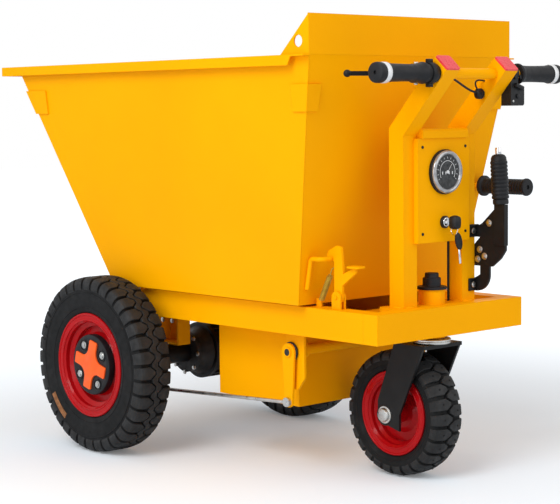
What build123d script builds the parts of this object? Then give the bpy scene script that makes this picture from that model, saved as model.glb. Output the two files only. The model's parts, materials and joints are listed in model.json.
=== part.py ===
from build123d import *
from math import atan, cos, radians, sin, tan
import os

os.makedirs("parts", exist_ok=True)

# Motorized wheelbarrow: two driven wheels in front, one swivelling wheel behind.
# X points to the tub's nose, Y to the machine's left, Z up. The ground is Z = 0.
# The origin lies on the ground under the middle of the machine.

# Wheels
front_axle_x = 258.0
front_track = 612.0
front_tyre_diameter = 406.0
front_tyre_width = 94.0
front_rim_diameter = 240.0
front_rim_width = 82.0
front_lug_count = 36
front_rib_width = 25.0
rear_tyre_diameter = 272.0
rear_tyre_width = 86.0
rear_rim_diameter = 182.0
rear_rim_width = 72.0
rear_lug_count = 26
rear_rib_width = 4.0
tread_depth = 7.0
crown_rise = 2.5
lug_side_height = 24.0
lug_side_slope = 6.5
notch_foot_rise = 4.0
notch_lead_out = 6.0
notch_half_width = 9.0
notch_height = 14.0
rim_wall = 4.0
rim_flange_height = 18.0
rim_disc_thickness = 5.0
rim_lip_chamfer = 5.0
rim_well_depth = 10.0
rim_well_start = 26.0
rim_well_slope = 6.0
rim_dish_slope = 12.0
rear_well_depth = 6.0
rear_well_inset = 20.0
rear_dish_radius = 34.0
rear_disc_step = 11.0
bead_play = 0.3
hub_cover_diameter = 140.0
hub_cover_thickness = 14.0
hub_cover_inset = 7.0
hub_seat_play = 4.0
hub_cross_width = 27.0
hub_cross_reach = 57.0
hub_cross_height = 2.0
hub_cross_angle = 16.0
hub_cross_fillet = 9.0
hub_pocket_radius = 14.0
hub_pocket_reach = 50.0
hub_pocket_depth = 9.0
hub_pocket_turn = 45.0
drum_diameter = 164.0
drum_depth = 36.0
drum_disc_gap = 12.0
backing_plate_thickness = 3.0
backing_plate_lap = 2.0
drum_gap = 5.0

# Drive axle
axle_tube_diameter = 48.0
axle_end_diameter = 30.0
diff_diameter = 98.0
diff_length = 44.0
diff_left_face = 62.0
diff_flange_width = 10.0
diff_neck_diameter = 88.0
diff_neck_width = 8.0
diff_bell_diameter = 118.0
motor_diameter = 136.0
motor_length = 142.0
motor_body_diameter = 124.0
motor_flange_width = 12.0
motor_rib_count = 20
motor_rib_width = 5.0
motor_cap_diameter = 96.0
motor_cap_width = 14.0
shaft_play = 0.3

# Frame
frame_depth = 62.0
frame_width = 448.0
frame_tail = 203.0
frame_bar_width = 40.0
rail_nose = 40.0
rail_nose_drop = 40.0
rail_slope_start = 60.0
front_beam_length = 80.0
front_beam_height = 40.0
head_block_length = 58.0
head_block_width = 232.0
head_brace_width = 30.0
head_brace_spacing = 150.0

# Channels between the front beam and the axle tube
bracket_length = 74.0
bracket_depth = 36.0
bracket_wall = 6.0
bracket_left_y = 94.0
bracket_right_y = 148.0

# Battery box between the rails
box_front = 232.0
box_wheel_gap = 33.0
box_width = 300.0
box_bottom = 143.0
box_wall = 3.0
box_flange = 40.0
box_lid_lap = 15.0
pack_clearance = 10.0
pack_height = 120.0

# Tub
tub_gap = 5.0
tub_height = 512.0
tub_floor_front = 32.0
tub_floor_length = 632.0
tub_floor_width = 496.0
tub_top_width = 614.0
tub_rear_lean = 100.0
tub_front_lean = 291.0
tub_sheet = 3.0
rim_side_reach = 16.0
rim_front_reach = 46.0
rim_lip = 21.0
rim_lip_rear = 36.0
corner_play = 0.5
extension_height = 81.0
ear_length = 84.0
ear_hole_diameter = 24.0
ear_hole_back = 31.0
ear_hole_up = 27.0
rest_pad_length = 60.0
rest_pad_play = 0.3
rest_pad_width = 30.0
rest_pad_front = 120.0
rest_pad_rear_inset = 60.0
corner_plate = 4.0
corner_plate_low = 399.0
corner_plate_high = 454.0
corner_plate_leaf = 42.0
corner_plate_front_leaf = 60.0

# Tub hinge
hinge_x = 55.0
hinge_drop = 7.0
hinge_pin_diameter = 12.0
hinge_pin_play = 0.3
hinge_boss_radius = 14.0
hinge_plate = 8.0
hinge_side_gap = 2.0
hinge_y = 140.0
hinge_ear_foot = 16.0
hinge_ear_drop = 31.0
hinge_lug_low = 4.0
hinge_lug_high = 70.0
hinge_pin_end = 3.0

# Steering posts and handlebar
post_size = 40.0
post_setback = 148.0
post_spacing = 180.0
post_bend_rise = 361.0
post_lean = 42.0
post_upper_length = 182.0
cap_thickness = 4.0
bar_diameter = 22.0
bar_setback = 25.0
bar_overhang = 160.0

# Controls on the handlebar
perch_width = 30.0
perch_gap = 1.0
perch_diameter = 38.0
lever_pivot = 30.0
lever_reach = 78.0
lever_tip_overhang = 166.0
lever_thickness = 9.0
lever_root = 4.0
lever_tip_width = 8.0
lever_ball_diameter = 15.0
switch_length = 26.0
switch_drop = 66.0
switch_box_height = 40.0
switch_box_width = 43.0
switch_clamp_width = 23.0
switch_clamp_diameter = 32.0
switch_round = 5.0

# Control panel
panel_width = 160.0
panel_height = 215.0
panel_rise = 132.0
panel_depth = 12.0
panel_wall = 3.0
hood_inset = 10.0
hood_round = 8.0
hood_depth = 18.0
hood_height = 20.0
gauge_diameter = 88.0
gauge_height = 14.0
gauge_rim = 6.0
gauge_recess = 4.0
gauge_rise = 145.0
key_switch_diameter = 26.0
key_switch_height = 6.0
key_switch_rise = 41.0
key_head_diameter = 22.0
key_head_thickness = 8.0
key_stem_length = 12.0
key_stem_width = 4.0
key_stem_height = 9.0

# Swivel head and rear fork
head_setback = 145.0
head_tube_diameter = 56.0
head_tube_rise = 31.0
head_tube_drop = 9.0
head_cap_diameter = 64.0
head_cap_height = 34.0
head_cap_flange = 6.0
head_cap_step = 24.0
head_cap_neck_diameter = 40.0
head_cap_top_diameter = 29.0
king_pin_drop = 10.0
fork_crown_gap = 12.0
fork_plate = 8.0
fork_leg_thickness = 6.0
fork_width = 120.0
fork_length = 84.0
fork_shift = 11.0
fork_foot_width = 62.0
fork_foot_front = 101.0
fork_foot_low = 105.0
fork_foot_high = 122.0
fork_neck_low = 140.0
fork_neck_high = 165.0
fork_trail = 80.0
king_pin_diameter = 24.0
bearing_diameter = 58.0
bearing_height = 11.0
bearing_gap = 1.0
rear_axle_diameter = 16.0
rear_hub_diameter = 44.0
rear_hub_gap = 2.0
axle_head_diameter = 24.0
axle_head_thickness = 9.0

# Brake linkage at each side of the battery box
shaft_setback = 20.0
shaft_drop = 43.0
brake_shaft_diameter = 22.0
brake_shaft_bore = 12.0
brake_shaft_bore_depth = 14.0
shaft_bracket_y = 186.0
shaft_bracket_front = 18.0
shaft_bracket_rear = 38.0
shaft_bracket_reach = 80.0
shaft_bracket_cut = 26.0
shaft_bracket_thickness = 6.0
strap_y = 196.0
strap_thickness = 5.0
strap_width = 38.0
strap_length = 107.0
rod_diameter = 8.0
rod_eye_diameter = 20.0
rod_pin_boss = 12.0
shaft_end = 3.0
brake_arm_x = 40.0
brake_arm_length = 52.0
brake_arm_width = 22.0
brake_arm_drop = 12.0
brake_spindle_radius = 7.0
return_spring_diameter = 32.0
return_spring_length = 22.0
return_spring_y = 161.0

# Tub latch on the left rail, its spring, and the rod it holds on the tub
latch_setback = 70.0
latch_y = 200.0
latch_pin_rise = 24.0
latch_plate = 6.0
latch_lug_gap = 1.0
latch_lug_width = 26.0
latch_lug_plate = 4.0
latch_pin_radius = 4.0
latch_pin_end = 2.0
latch_pad_rise = 87.0
latch_pad_setback = 50.0
latch_pad_length = 34.0
latch_pad_width = 26.0
latch_rod_diameter = 10.0
latch_rod_rise = 103.0
latch_rod_lead = 15.0
latch_rod_start_y = 234.0
latch_rod_wall_rise = 39.0
latch_rod_bend = 9.0
latch_side_gap = 5.0
latch_spring_diameter = 12.0
latch_spring_wire = 2.4
latch_spring_eye_lead = 11.4
latch_spring_eye_rise = 71.0
latch_spring_foot_lead = 50.0
latch_spring_foot_rise = 19.4
latch_spring_body_start = 0.15
latch_spring_body_end = 0.75
latch_foot_height = 18.0
latch_foot_width = 14.0
latch_hook_round = 5.0

# Hook plate as (distance behind the pin, height above the frame)
latch_hook_outline = (
    (-10, 15),
    (-10, 97),
    (-31, 108),
    (-26, 119),
    (-2, 131),
    (11, 128),
    (16, 73),
    (46, 87),
    (52, 87),
    (52, 77),
    (14, 49),
    (11, 15),
)

# Tipping handle on the tub's rear wall
peg_y = 258.0
peg_rise = 230.0
peg_length = 142.0
peg_diameter = 30.0
peg_flange_diameter = 46.0
peg_flange_width = 8.0
peg_stem_diameter = 15.0
peg_end_diameter = 38.0
peg_end_wall = 6.0
peg_gap = 20.0

# Hand brake on the right post, heights above the frame
hand_brake_plate = 6.0
hand_lever_setback = 90.0
hand_lever_length = 28.0
hand_lever_wall = 3.0
hand_lever_foot = 120.0
hand_grip_rise = 206.0
hand_grip_diameter = 37.0
hand_grip_waist = 33.0
hand_grip_length = 91.0
hand_grip_collar = 9.0
hand_grip_tilt = 4.8
hand_button_height = 14.0
hand_button_diameter = 11.0
hand_lug_radius = 11.5
hand_lug_behind = 12.0
hand_lug_low = 34.0
hand_lug_high = 148.5
hand_stay_start = 35.4
hand_stay_end = 60.5
hand_stay_turn = 56.0

# Its plate as (distance behind the post's middle, height above the frame)
hand_plate_foot = 74.0
hand_plate_rise = 201.0
hand_plate_outline = (
    (12, 160),
    (33, 161),
    (41, 165),
    (79, 200),
    (104, hand_plate_rise),
    (104, 110),
    (91, 92),
    (68, hand_plate_foot),
    (20, hand_plate_foot),
    (20, 120),
    (35, 135),
    (12, 137),
)

# Control cable from the panel down beside the right post and forward to the battery box
cable_diameter = 5.0
cable_back = 17.0
cable_drop = 7.0
cable_bend = 25.0
cable_slot_play = 6.0
cable_top_lap = 12.0

# Sides of the machine, used by the loops below
sides = (("left", 1), ("right", -1))


# X of a place that lies so far behind the front axle
def back(distance):
    return front_axle_x - distance


front_axle_z = front_tyre_diameter / 2
rear_axle_z = rear_tyre_diameter / 2
wheel_y = front_track / 2
fork_top = rear_tyre_diameter + fork_crown_gap + fork_plate
head_tube_bottom = fork_top + bearing_height + bearing_gap
frame_bottom = head_tube_bottom + head_tube_drop
frame_top = frame_bottom + frame_depth
rail_inner_y = frame_width / 2 - frame_bar_width
rail_y = frame_width / 2 - frame_bar_width / 2
tub_bottom = frame_top + tub_gap
tub_top = tub_bottom + tub_height

# Places behind the front axle: what stands behind the tub follows the end of its floor
tub_floor_end = tub_floor_length - tub_floor_front
frame_rear = tub_floor_end + frame_tail
rear_bar_front = frame_rear - frame_bar_width
mid_bar_front = tub_floor_end
head_x = tub_floor_end + head_setback
post_x = tub_floor_end + post_setback
latch_x = tub_floor_end + latch_setback
box_length = head_x - fork_trail - rear_axle_z - box_wheel_gap - box_front
shaft_x = box_front + box_length + shaft_setback
shaft_z = frame_bottom - shaft_drop

# Heights that follow the frame
hinge_z = frame_top - hinge_drop
latch_pin_z = frame_top + latch_pin_rise
latch_pad_z = frame_top + latch_pad_rise
latch_rod_z = frame_top + latch_rod_rise
panel_bottom = frame_top + panel_rise
gauge_z = panel_bottom + gauge_rise
key_switch_z = panel_bottom + key_switch_rise
post_bend_z = frame_top + post_bend_rise
peg_z = tub_bottom + peg_rise


# Tyre about the Z axis. Its outline gives (distance from the axle, place along it), and
# a notch that slants down to the side wall is repeated round each shoulder for the lugs.
def make_tyre(width, diameter, rim_width, rim_diameter, lug_count, rib_width):
    half = width / 2
    radius = diameter / 2
    bead_half = rim_width / 2 - rim_wall - bead_play
    bead = rim_diameter / 2 - rim_flange_height + bead_play
    lip = rim_diameter / 2 + bead_play
    foot = radius - lug_side_height
    base = radius - tread_depth
    cutters = []
    for turn in (1, -1):
        notch_start = Vector(base, 0, turn * rib_width / 2)
        notch_end = Vector(foot + notch_foot_rise, 0, turn * (half + notch_lead_out))
        notch_run = notch_end - notch_start
        notch_plane = Plane(origin=notch_start, x_dir=(0, turn, 0), z_dir=notch_run.normalized())
        with BuildPart() as cutter:
            with BuildSketch(notch_plane):
                with BuildLine():
                    Polyline(
                        (0, 0), (notch_half_width, -notch_height), (-notch_half_width, -notch_height), close=True
                    )
                make_face()
            extrude(amount=notch_run.length)
        cutters.append(cutter.part)
    with BuildPart() as tyre:
        with BuildSketch(Plane.XZ):
            with BuildLine():
                for turn in (1, -1):
                    Polyline((bead, 0), (bead, turn * bead_half), (lip, turn * bead_half))
                    ThreePointArc(
                        (lip, turn * bead_half), ((lip + foot) / 2, turn * half), (foot, turn * half)
                    )
                    Polyline(
                        (foot, turn * half),
                        (radius - crown_rise, turn * (half - lug_side_slope)),
                        (radius, turn * rib_width / 2),
                        (radius, 0),
                    )
            make_face()
        revolve(axis=Axis.Z)
        for cutter_part, first_angle in zip(cutters, (0, 180 / lug_count)):
            with PolarLocations(0, lug_count, start_angle=first_angle):
                add(cutter_part, mode=Mode.SUBTRACT)
    return tyre.part


# Front wheels. Each plane has its first axis along the wheel's axle, outwards.
front_wheel_axis = Axis((front_axle_x, 0, front_axle_z), (0, 1, 0))
front_rim_half = front_rim_width / 2
front_rim_radius = front_rim_diameter / 2
front_seat_radius = front_rim_radius - rim_flange_height
cover_face = front_rim_half - hub_cover_inset
cover_seat = cover_face - hub_cover_thickness
disc_face = cover_seat - drum_disc_gap
drum_outer_face = disc_face - rim_disc_thickness
drum_inner_face = drum_outer_face - drum_depth
backing_face = drum_inner_face - drum_gap
axle_shaft_reach = drum_inner_face + drum_depth / 2
front_bore = axle_end_diameter / 2 + shaft_play
front_tyre = make_tyre(
    front_tyre_width, front_tyre_diameter, front_rim_width, front_rim_diameter, front_lug_count, front_rib_width
)

for side, sign in sides:
    wheel_plane = Plane(
        origin=(front_axle_x, sign * wheel_y, front_axle_z), x_dir=(0, sign, 0), z_dir=(sign, 0, 0)
    )
    hub_plane = Plane(
        origin=(front_axle_x, sign * wheel_y, front_axle_z), x_dir=(1, 0, 0), z_dir=(0, sign, 0)
    )
    with BuildPart() as tyre:
        with Locations(hub_plane):
            add(front_tyre)
    tyre.part.label = f"front_{side}_tyre"
    export_step(tyre.part, f"parts/front_{side}_tyre.step")

    # Rim with its lip, bead seat, well and dished disc
    with BuildPart() as rim:
        with BuildSketch(wheel_plane):
            with BuildLine():
                inner_radius = front_seat_radius - rim_wall
                well_radius = front_seat_radius - rim_well_depth
                well_inner = well_radius - rim_wall
                well_end = rim_well_start - rim_well_slope
                dish_radius = hub_cover_diameter / 2 + hub_seat_play
                Polyline(
                    (-front_rim_half, front_rim_radius),
                    (-front_rim_half, inner_radius),
                    (-rim_well_start, inner_radius),
                    (-well_end, well_inner),
                    (drum_outer_face, well_inner),
                    (drum_outer_face, front_bore),
                    (cover_seat, front_bore),
                    (cover_seat, dish_radius - rim_dish_slope),
                    (disc_face, dish_radius),
                    (disc_face, well_inner),
                    (well_end, well_inner),
                    (rim_well_start, inner_radius),
                    (front_rim_half - rim_lip_chamfer, inner_radius),
                    (front_rim_half, inner_radius + rim_lip_chamfer),
                    (front_rim_half, front_rim_radius),
                    (front_rim_half - rim_wall, front_rim_radius),
                    (front_rim_half - rim_wall, front_seat_radius),
                    (rim_well_start, front_seat_radius),
                    (well_end, well_radius),
                    (-well_end, well_radius),
                    (-rim_well_start, front_seat_radius),
                    (rim_wall - front_rim_half, front_seat_radius),
                    (rim_wall - front_rim_half, front_rim_radius),
                    close=True,
                )
            make_face()
        revolve(axis=front_wheel_axis)
    rim.part.label = f"front_{side}_rim"
    export_step(rim.part, f"parts/front_{side}_rim.step")

    # Hub cover with its raised cross and a pocket for each wheel bolt
    with BuildPart() as hub_cover:
        with BuildSketch(hub_plane.offset(cover_seat)):
            Circle(hub_cover_diameter / 2)
        extrude(amount=hub_cover_thickness)
        with BuildSketch(hub_plane.offset(cover_face)) as cross:
            Rectangle(2 * hub_cross_reach, hub_cross_width, rotation=hub_cross_angle)
            Rectangle(hub_cross_width, 2 * hub_cross_reach, rotation=hub_cross_angle)
            fillet(cross.vertices().sort_by(SortBy.DISTANCE)[:4], hub_cross_fillet)
        extrude(amount=hub_cross_height)
        with BuildSketch(hub_plane.offset(cover_face + hub_cross_height)):
            with PolarLocations(hub_pocket_reach, 4, start_angle=hub_cross_angle + hub_pocket_turn):
                Circle(hub_pocket_radius)
        extrude(amount=-hub_pocket_depth, mode=Mode.SUBTRACT)
    hub_cover.part.label = f"front_{side}_hub_cover"
    export_step(hub_cover.part, f"parts/front_{side}_hub_cover.step")

    with BuildPart() as drum:
        with BuildSketch(hub_plane.offset(drum_inner_face)):
            Circle(drum_diameter / 2)
            Circle(front_bore, mode=Mode.SUBTRACT)
        extrude(amount=drum_depth)
    drum.part.label = f"front_{side}_brake_drum"
    export_step(drum.part, f"parts/front_{side}_brake_drum.step")


# Drive axle: two tubes with their end shafts, gear case and motor on one line
tube_outer_end = wheel_y + backing_face
with BuildPart() as axle_tubes:
    for side, sign in sides:
        tube_start = diff_left_face if sign > 0 else motor_length + diff_length - diff_left_face
        axle_plane = Plane(
            origin=(front_axle_x, 0, front_axle_z), x_dir=(0, sign, 0), z_dir=(sign, 0, 0)
        )
        with BuildSketch(axle_plane):
            with BuildLine():
                Polyline(
                    (tube_start, 0),
                    (tube_start, axle_tube_diameter / 2),
                    (tube_outer_end, axle_tube_diameter / 2),
                    (tube_outer_end, axle_end_diameter / 2),
                    (wheel_y + axle_shaft_reach, axle_end_diameter / 2),
                    (wheel_y + axle_shaft_reach, 0),
                    close=True,
                )
            make_face()
        revolve(axis=front_wheel_axis)
axle_tubes.part.label = "axle_tubes"
export_step(axle_tubes.part, "parts/axle_tubes.step")

# Gear case and motor about the axle, with (place along it towards the right, radius)
diff_right_face = diff_left_face - diff_length
drive_plane = Plane(
    origin=(front_axle_x, diff_left_face, front_axle_z), x_dir=(0, -1, 0), z_dir=(-1, 0, 0)
)
with BuildPart() as gear_case:
    with BuildSketch(drive_plane):
        with BuildLine():
            Polyline(
                (0, 0),
                (0, diff_diameter / 2),
                (diff_flange_width, diff_diameter / 2),
                (diff_flange_width, diff_neck_diameter / 2),
                (diff_flange_width + diff_neck_width, diff_neck_diameter / 2),
                (diff_length, diff_bell_diameter / 2),
                (diff_length, 0),
                close=True,
            )
        make_face()
    revolve(axis=front_wheel_axis)
gear_case.part.label = "gear_case"
export_step(gear_case.part, "parts/gear_case.step")

motor_plane = Plane(
    origin=(front_axle_x, diff_right_face, front_axle_z), x_dir=(1, 0, 0), z_dir=(0, -1, 0)
)
with BuildPart() as motor:
    with BuildSketch(motor_plane):
        Circle(motor_diameter / 2)
    extrude(amount=motor_flange_width)
    with BuildSketch(motor_plane.offset(motor_flange_width)):
        Circle(motor_body_diameter / 2)
        with PolarLocations(motor_body_diameter / 2, motor_rib_count):
            Rectangle(motor_diameter - motor_body_diameter, motor_rib_width)
    extrude(amount=motor_length - motor_flange_width - motor_cap_width)
    with BuildSketch(motor_plane.offset(motor_length - motor_cap_width)):
        Circle(motor_cap_diameter / 2)
    extrude(amount=motor_cap_width)
motor.part.label = "drive_motor"
export_step(motor.part, "parts/drive_motor.step")

# Frame rails with their noses cut down towards the front
for side, sign in sides:
    with BuildPart() as rail:
        with BuildSketch(Plane.XZ.offset(-sign * rail_y)):
            with BuildLine():
                Polyline(
                    (back(rear_bar_front), frame_bottom),
                    (front_axle_x + rail_nose, frame_bottom),
                    (front_axle_x + rail_nose, frame_top - rail_nose_drop),
                    (back(rail_slope_start), frame_top),
                    (back(rear_bar_front), frame_top),
                    close=True,
                )
            make_face()
        extrude(amount=frame_bar_width / 2, both=True)
    rail.part.label = f"frame_rail_{side}"
    export_step(rail.part, f"parts/frame_rail_{side}.step")

with BuildPart() as rear_bar:
    with BuildSketch(Plane.XY.offset(frame_bottom)):
        with Locations((back(frame_rear - frame_bar_width / 2), 0)):
            Rectangle(frame_bar_width, frame_width)
        with Locations((back(head_x), 0)):
            Circle(head_tube_diameter / 2, mode=Mode.SUBTRACT)
    extrude(amount=frame_depth)
rear_bar.part.label = "frame_rear_bar"
export_step(rear_bar.part, "parts/frame_rear_bar.step")

with BuildPart() as front_beam:
    with BuildSketch(Plane.XY.offset(frame_bottom)):
        with Locations((front_axle_x + rail_nose - front_beam_length / 2, 0)):
            Rectangle(front_beam_length, 2 * rail_inner_y)
    extrude(amount=front_beam_height)
front_beam.part.label = "frame_front_beam"
export_step(front_beam.part, "parts/frame_front_beam.step")

# Head block behind the tub with its braces, mid bar and the upright tube of the swivel head
head_block_front = rear_bar_front - head_block_length
brace_length = head_block_front - mid_bar_front
head_tube_top = frame_top + head_tube_rise
cable_y = -(post_spacing / 2 - post_size / 2 - cable_diameter / 2)
cable_x_back = post_x - cable_back
with BuildPart() as head_block:
    with BuildSketch(Plane.XY.offset(frame_bottom)):
        with Locations((back(mid_bar_front + frame_bar_width / 2), 0)):
            Rectangle(frame_bar_width, 2 * rail_inner_y)
        with Locations((back(head_block_front - brace_length / 2), 0)):
            with GridLocations(0, head_brace_spacing, 1, 2):
                Rectangle(brace_length, head_brace_width)
    extrude(amount=front_beam_height)
    with BuildSketch(Plane.XY.offset(frame_bottom)):
        with Locations((back((rear_bar_front + head_block_front) / 2), 0)):
            Rectangle(head_block_length, head_block_width)
    extrude(amount=frame_depth)
    with BuildSketch(Plane.XY.offset(head_tube_bottom)):
        with Locations((back(head_x), 0)):
            Circle(head_tube_diameter / 2)
    extrude(amount=head_tube_top - head_tube_bottom)
    with BuildSketch(Plane.XY.offset(head_tube_bottom)):
        with Locations((back(head_x), 0)):
            Circle(king_pin_diameter / 2 + shaft_play)
    extrude(amount=head_tube_top - head_tube_bottom, mode=Mode.SUBTRACT)
    with BuildSketch(Plane.XY.offset(frame_bottom)):
        with Locations((back(head_block_front), cable_y)):
            Rectangle(
                2 * (cable_x_back - head_block_front + cable_slot_play), cable_diameter + 2 * cable_slot_play
            )
    extrude(amount=frame_depth, mode=Mode.SUBTRACT)
head_block.part.label = "head_block"
export_step(head_block.part, "parts/head_block.step")

# Stepped rubber cap over the swivel head
with BuildPart() as head_cap:
    for cap_diameter, cap_height in (
        (head_cap_diameter, head_cap_flange),
        (head_cap_neck_diameter, head_cap_step),
        (head_cap_top_diameter, head_cap_height),
    ):
        with BuildSketch(Plane.XY.offset(head_tube_top)):
            with Locations((back(head_x), 0)):
                Circle(cap_diameter / 2)
        extrude(amount=cap_height)
head_cap.part.label = "swivel_head_cap"
export_step(head_cap.part, "parts/swivel_head_cap.step")

# Channels that stand on the axle tubes, open towards the wheels
axle_tube_top = front_axle_z + axle_tube_diameter / 2
with BuildPart() as axle_brackets:
    for (side, sign), bracket_y in zip(sides, (bracket_left_y, bracket_right_y)):
        web_y = sign * bracket_y
        with BuildSketch(Plane.XY.offset(axle_tube_top)):
            with Locations((front_axle_x, web_y)):
                Rectangle(bracket_length, bracket_depth)
        extrude(amount=frame_bottom - axle_tube_top)
        with BuildSketch(Plane.XY.offset(axle_tube_top + bracket_wall)):
            with Locations((front_axle_x, web_y + sign * bracket_wall)):
                Rectangle(bracket_length - 2 * bracket_wall, bracket_depth)
        extrude(amount=frame_bottom - axle_tube_top - bracket_wall, mode=Mode.SUBTRACT)
axle_brackets.part.label = "axle_brackets"
export_step(axle_brackets.part, "parts/axle_brackets.step")

# Battery box, its lid and the battery block inside
box_middle = back(box_front + box_length / 2)
box_height = frame_bottom - box_bottom
with BuildPart() as battery_box:
    with BuildSketch(Plane.XY.offset(box_bottom)):
        with Locations((box_middle, 0)):
            Rectangle(box_length, box_width)
    extrude(amount=box_height)
    with BuildSketch(Plane.XY.offset(frame_bottom - box_wall)):
        with Locations((box_middle, 0)):
            Rectangle(box_length, box_width + 2 * box_flange)
    extrude(amount=box_wall)
    with BuildSketch(Plane.XY.offset(box_bottom + box_wall)):
        with Locations((box_middle, 0)):
            Rectangle(box_length - 2 * box_wall, box_width - 2 * box_wall)
    extrude(amount=box_height, mode=Mode.SUBTRACT)
battery_box.part.label = "battery_box"
export_step(battery_box.part, "parts/battery_box.step")

with BuildPart() as battery_lid:
    with BuildSketch(Plane.XY.offset(frame_bottom)):
        with Locations((box_middle, 0)):
            Rectangle(box_length, box_width + 2 * box_lid_lap)
    extrude(amount=box_wall)
battery_lid.part.label = "battery_lid"
export_step(battery_lid.part, "parts/battery_lid.step")

pack_inset = box_wall + pack_clearance
with BuildPart() as battery_pack:
    with BuildSketch(Plane.XY.offset(box_bottom + box_wall)):
        with Locations((box_middle, 0)):
            Rectangle(box_length - 2 * pack_inset, box_width - 2 * pack_inset)
    extrude(amount=pack_height)
battery_pack.part.label = "battery_pack"
export_step(battery_pack.part, "parts/battery_pack.step")

# Brake cross shaft with a strap at each end and its return springs
rod_pin_z = shaft_z - strap_length
arm_pivot_z = front_axle_z - brake_arm_drop
arm_pin_z = arm_pivot_z - brake_arm_length
rod_y = strap_y + strap_thickness + rod_diameter / 2
strap_middle_y = strap_y + strap_thickness / 2
with BuildPart() as brake_shaft:
    with BuildSketch(Plane.XZ):
        with Locations((back(shaft_x), shaft_z)):
            Circle(brake_shaft_diameter / 2)
    extrude(amount=strap_y + strap_thickness + shaft_end, both=True)
    for side, sign in sides:
        with BuildSketch(Plane.XZ.offset(-sign * strap_middle_y)):
            with Locations((back(shaft_x), shaft_z)):
                Circle(strap_width / 2)
            with Locations((back(shaft_x), rod_pin_z)):
                Circle(rod_pin_boss)
            make_hull()
        extrude(amount=strap_thickness / 2, both=True)
        with BuildSketch(Plane.XZ.offset(-sign * return_spring_y)):
            with Locations((back(shaft_x), shaft_z)):
                Circle(return_spring_diameter / 2)
        extrude(amount=return_spring_length / 2, both=True)
        with BuildSketch(Plane.XZ.offset(-sign * (strap_y + strap_thickness + shaft_end))):
            with Locations((back(shaft_x), shaft_z)):
                Circle(brake_shaft_bore / 2)
        extrude(amount=sign * brake_shaft_bore_depth, mode=Mode.SUBTRACT)
brake_shaft.part.label = "brake_shaft"
export_step(brake_shaft.part, "parts/brake_shaft.step")

with BuildPart() as shaft_hangers:
    for side, sign in sides:
        with BuildSketch(Plane.XZ.offset(-sign * shaft_bracket_y)):
            with BuildLine():
                Polyline(
                    (back(shaft_x - shaft_bracket_front), frame_bottom),
                    (back(shaft_x - shaft_bracket_front), shaft_z - shaft_bracket_reach),
                    (back(shaft_x + shaft_bracket_front), shaft_z - shaft_bracket_reach),
                    (back(shaft_x + shaft_bracket_rear), shaft_z - shaft_bracket_reach + shaft_bracket_cut),
                    (back(shaft_x + shaft_bracket_rear), frame_bottom),
                    close=True,
                )
            make_face()
            with Locations((back(shaft_x), shaft_z)):
                Circle(brake_shaft_diameter / 2 + shaft_play, mode=Mode.SUBTRACT)
        extrude(amount=shaft_bracket_thickness / 2, both=True)
shaft_hangers.part.label = "brake_shaft_hangers"
export_step(shaft_hangers.part, "parts/brake_shaft_hangers.step")

# Rods from the straps to the brake arms, an eye at each end
with BuildPart() as brake_rods:
    for side, sign in sides:
        rod_start = Vector(back(shaft_x), sign * rod_y, rod_pin_z)
        rod_end = Vector(back(brake_arm_x), sign * rod_y, arm_pin_z)
        with BuildSketch(Plane(origin=rod_start, z_dir=rod_end - rod_start)):
            Circle(rod_diameter / 2)
        extrude(amount=(rod_end - rod_start).length)
        with BuildSketch(Plane.XZ.offset(-sign * rod_y)):
            with Locations((rod_start.X, rod_start.Z), (rod_end.X, rod_end.Z)):
                Circle(rod_eye_diameter / 2)
        extrude(amount=rod_diameter / 2, both=True)
brake_rods.part.label = "brake_rods"
export_step(brake_rods.part, "parts/brake_rods.step")

# Fixed brake plates behind the drums, each with its spindle and arm
plate_inner_y = wheel_y + backing_face - backing_plate_thickness
with BuildPart() as brake_plates:
    for side, sign in sides:
        with BuildSketch(Plane.XZ.offset(-sign * plate_inner_y)):
            with Locations((front_axle_x, front_axle_z)):
                Circle(drum_diameter / 2 + backing_plate_lap)
                Circle(axle_tube_diameter / 2, mode=Mode.SUBTRACT)
        extrude(amount=-sign * backing_plate_thickness)
        with BuildSketch(Plane.XZ.offset(-sign * strap_y)):
            with Locations((back(brake_arm_x), arm_pivot_z)):
                Circle(brake_spindle_radius)
        extrude(amount=-sign * (plate_inner_y - strap_y))
        with BuildSketch(Plane.XZ.offset(-sign * strap_middle_y)):
            with Locations((back(brake_arm_x), arm_pivot_z), (back(brake_arm_x), arm_pin_z)):
                Circle(brake_arm_width / 2)
            make_hull()
        extrude(amount=strap_thickness / 2, both=True)
brake_plates.part.label = "brake_plates"
export_step(brake_plates.part, "parts/brake_plates.step")

# Tub hinge: two ears on the front beam around each lug of the tub, with a pin
pin_x = front_axle_x + hinge_x
beam_front = front_axle_x + rail_nose
beam_top = frame_bottom + front_beam_height
ear_offset = hinge_plate + hinge_side_gap
with BuildPart() as hinge_ears:
    for side, sign in sides:
        for step in (-ear_offset, ear_offset):
            with BuildSketch(Plane.XZ.offset(-(sign * hinge_y + step))):
                with BuildLine():
                    Polyline(
                        (beam_front - hinge_ear_foot, beam_top),
                        (beam_front, beam_top),
                        (beam_front, beam_top - hinge_ear_drop),
                        (pin_x, hinge_z - hinge_boss_radius),
                        (pin_x, hinge_z + hinge_boss_radius),
                        close=True,
                    )
                make_face()
                with Locations((pin_x, hinge_z)):
                    Circle(hinge_boss_radius)
            extrude(amount=hinge_plate / 2, both=True)
        with BuildSketch(Plane.XZ.offset(-sign * hinge_y)):
            with Locations((pin_x, hinge_z)):
                Circle(hinge_pin_diameter / 2)
        extrude(amount=ear_offset + hinge_plate / 2 + hinge_pin_end, both=True)
hinge_ears.part.label = "tub_hinge_ears"
export_step(hinge_ears.part, "parts/tub_hinge_ears.step")

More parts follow.
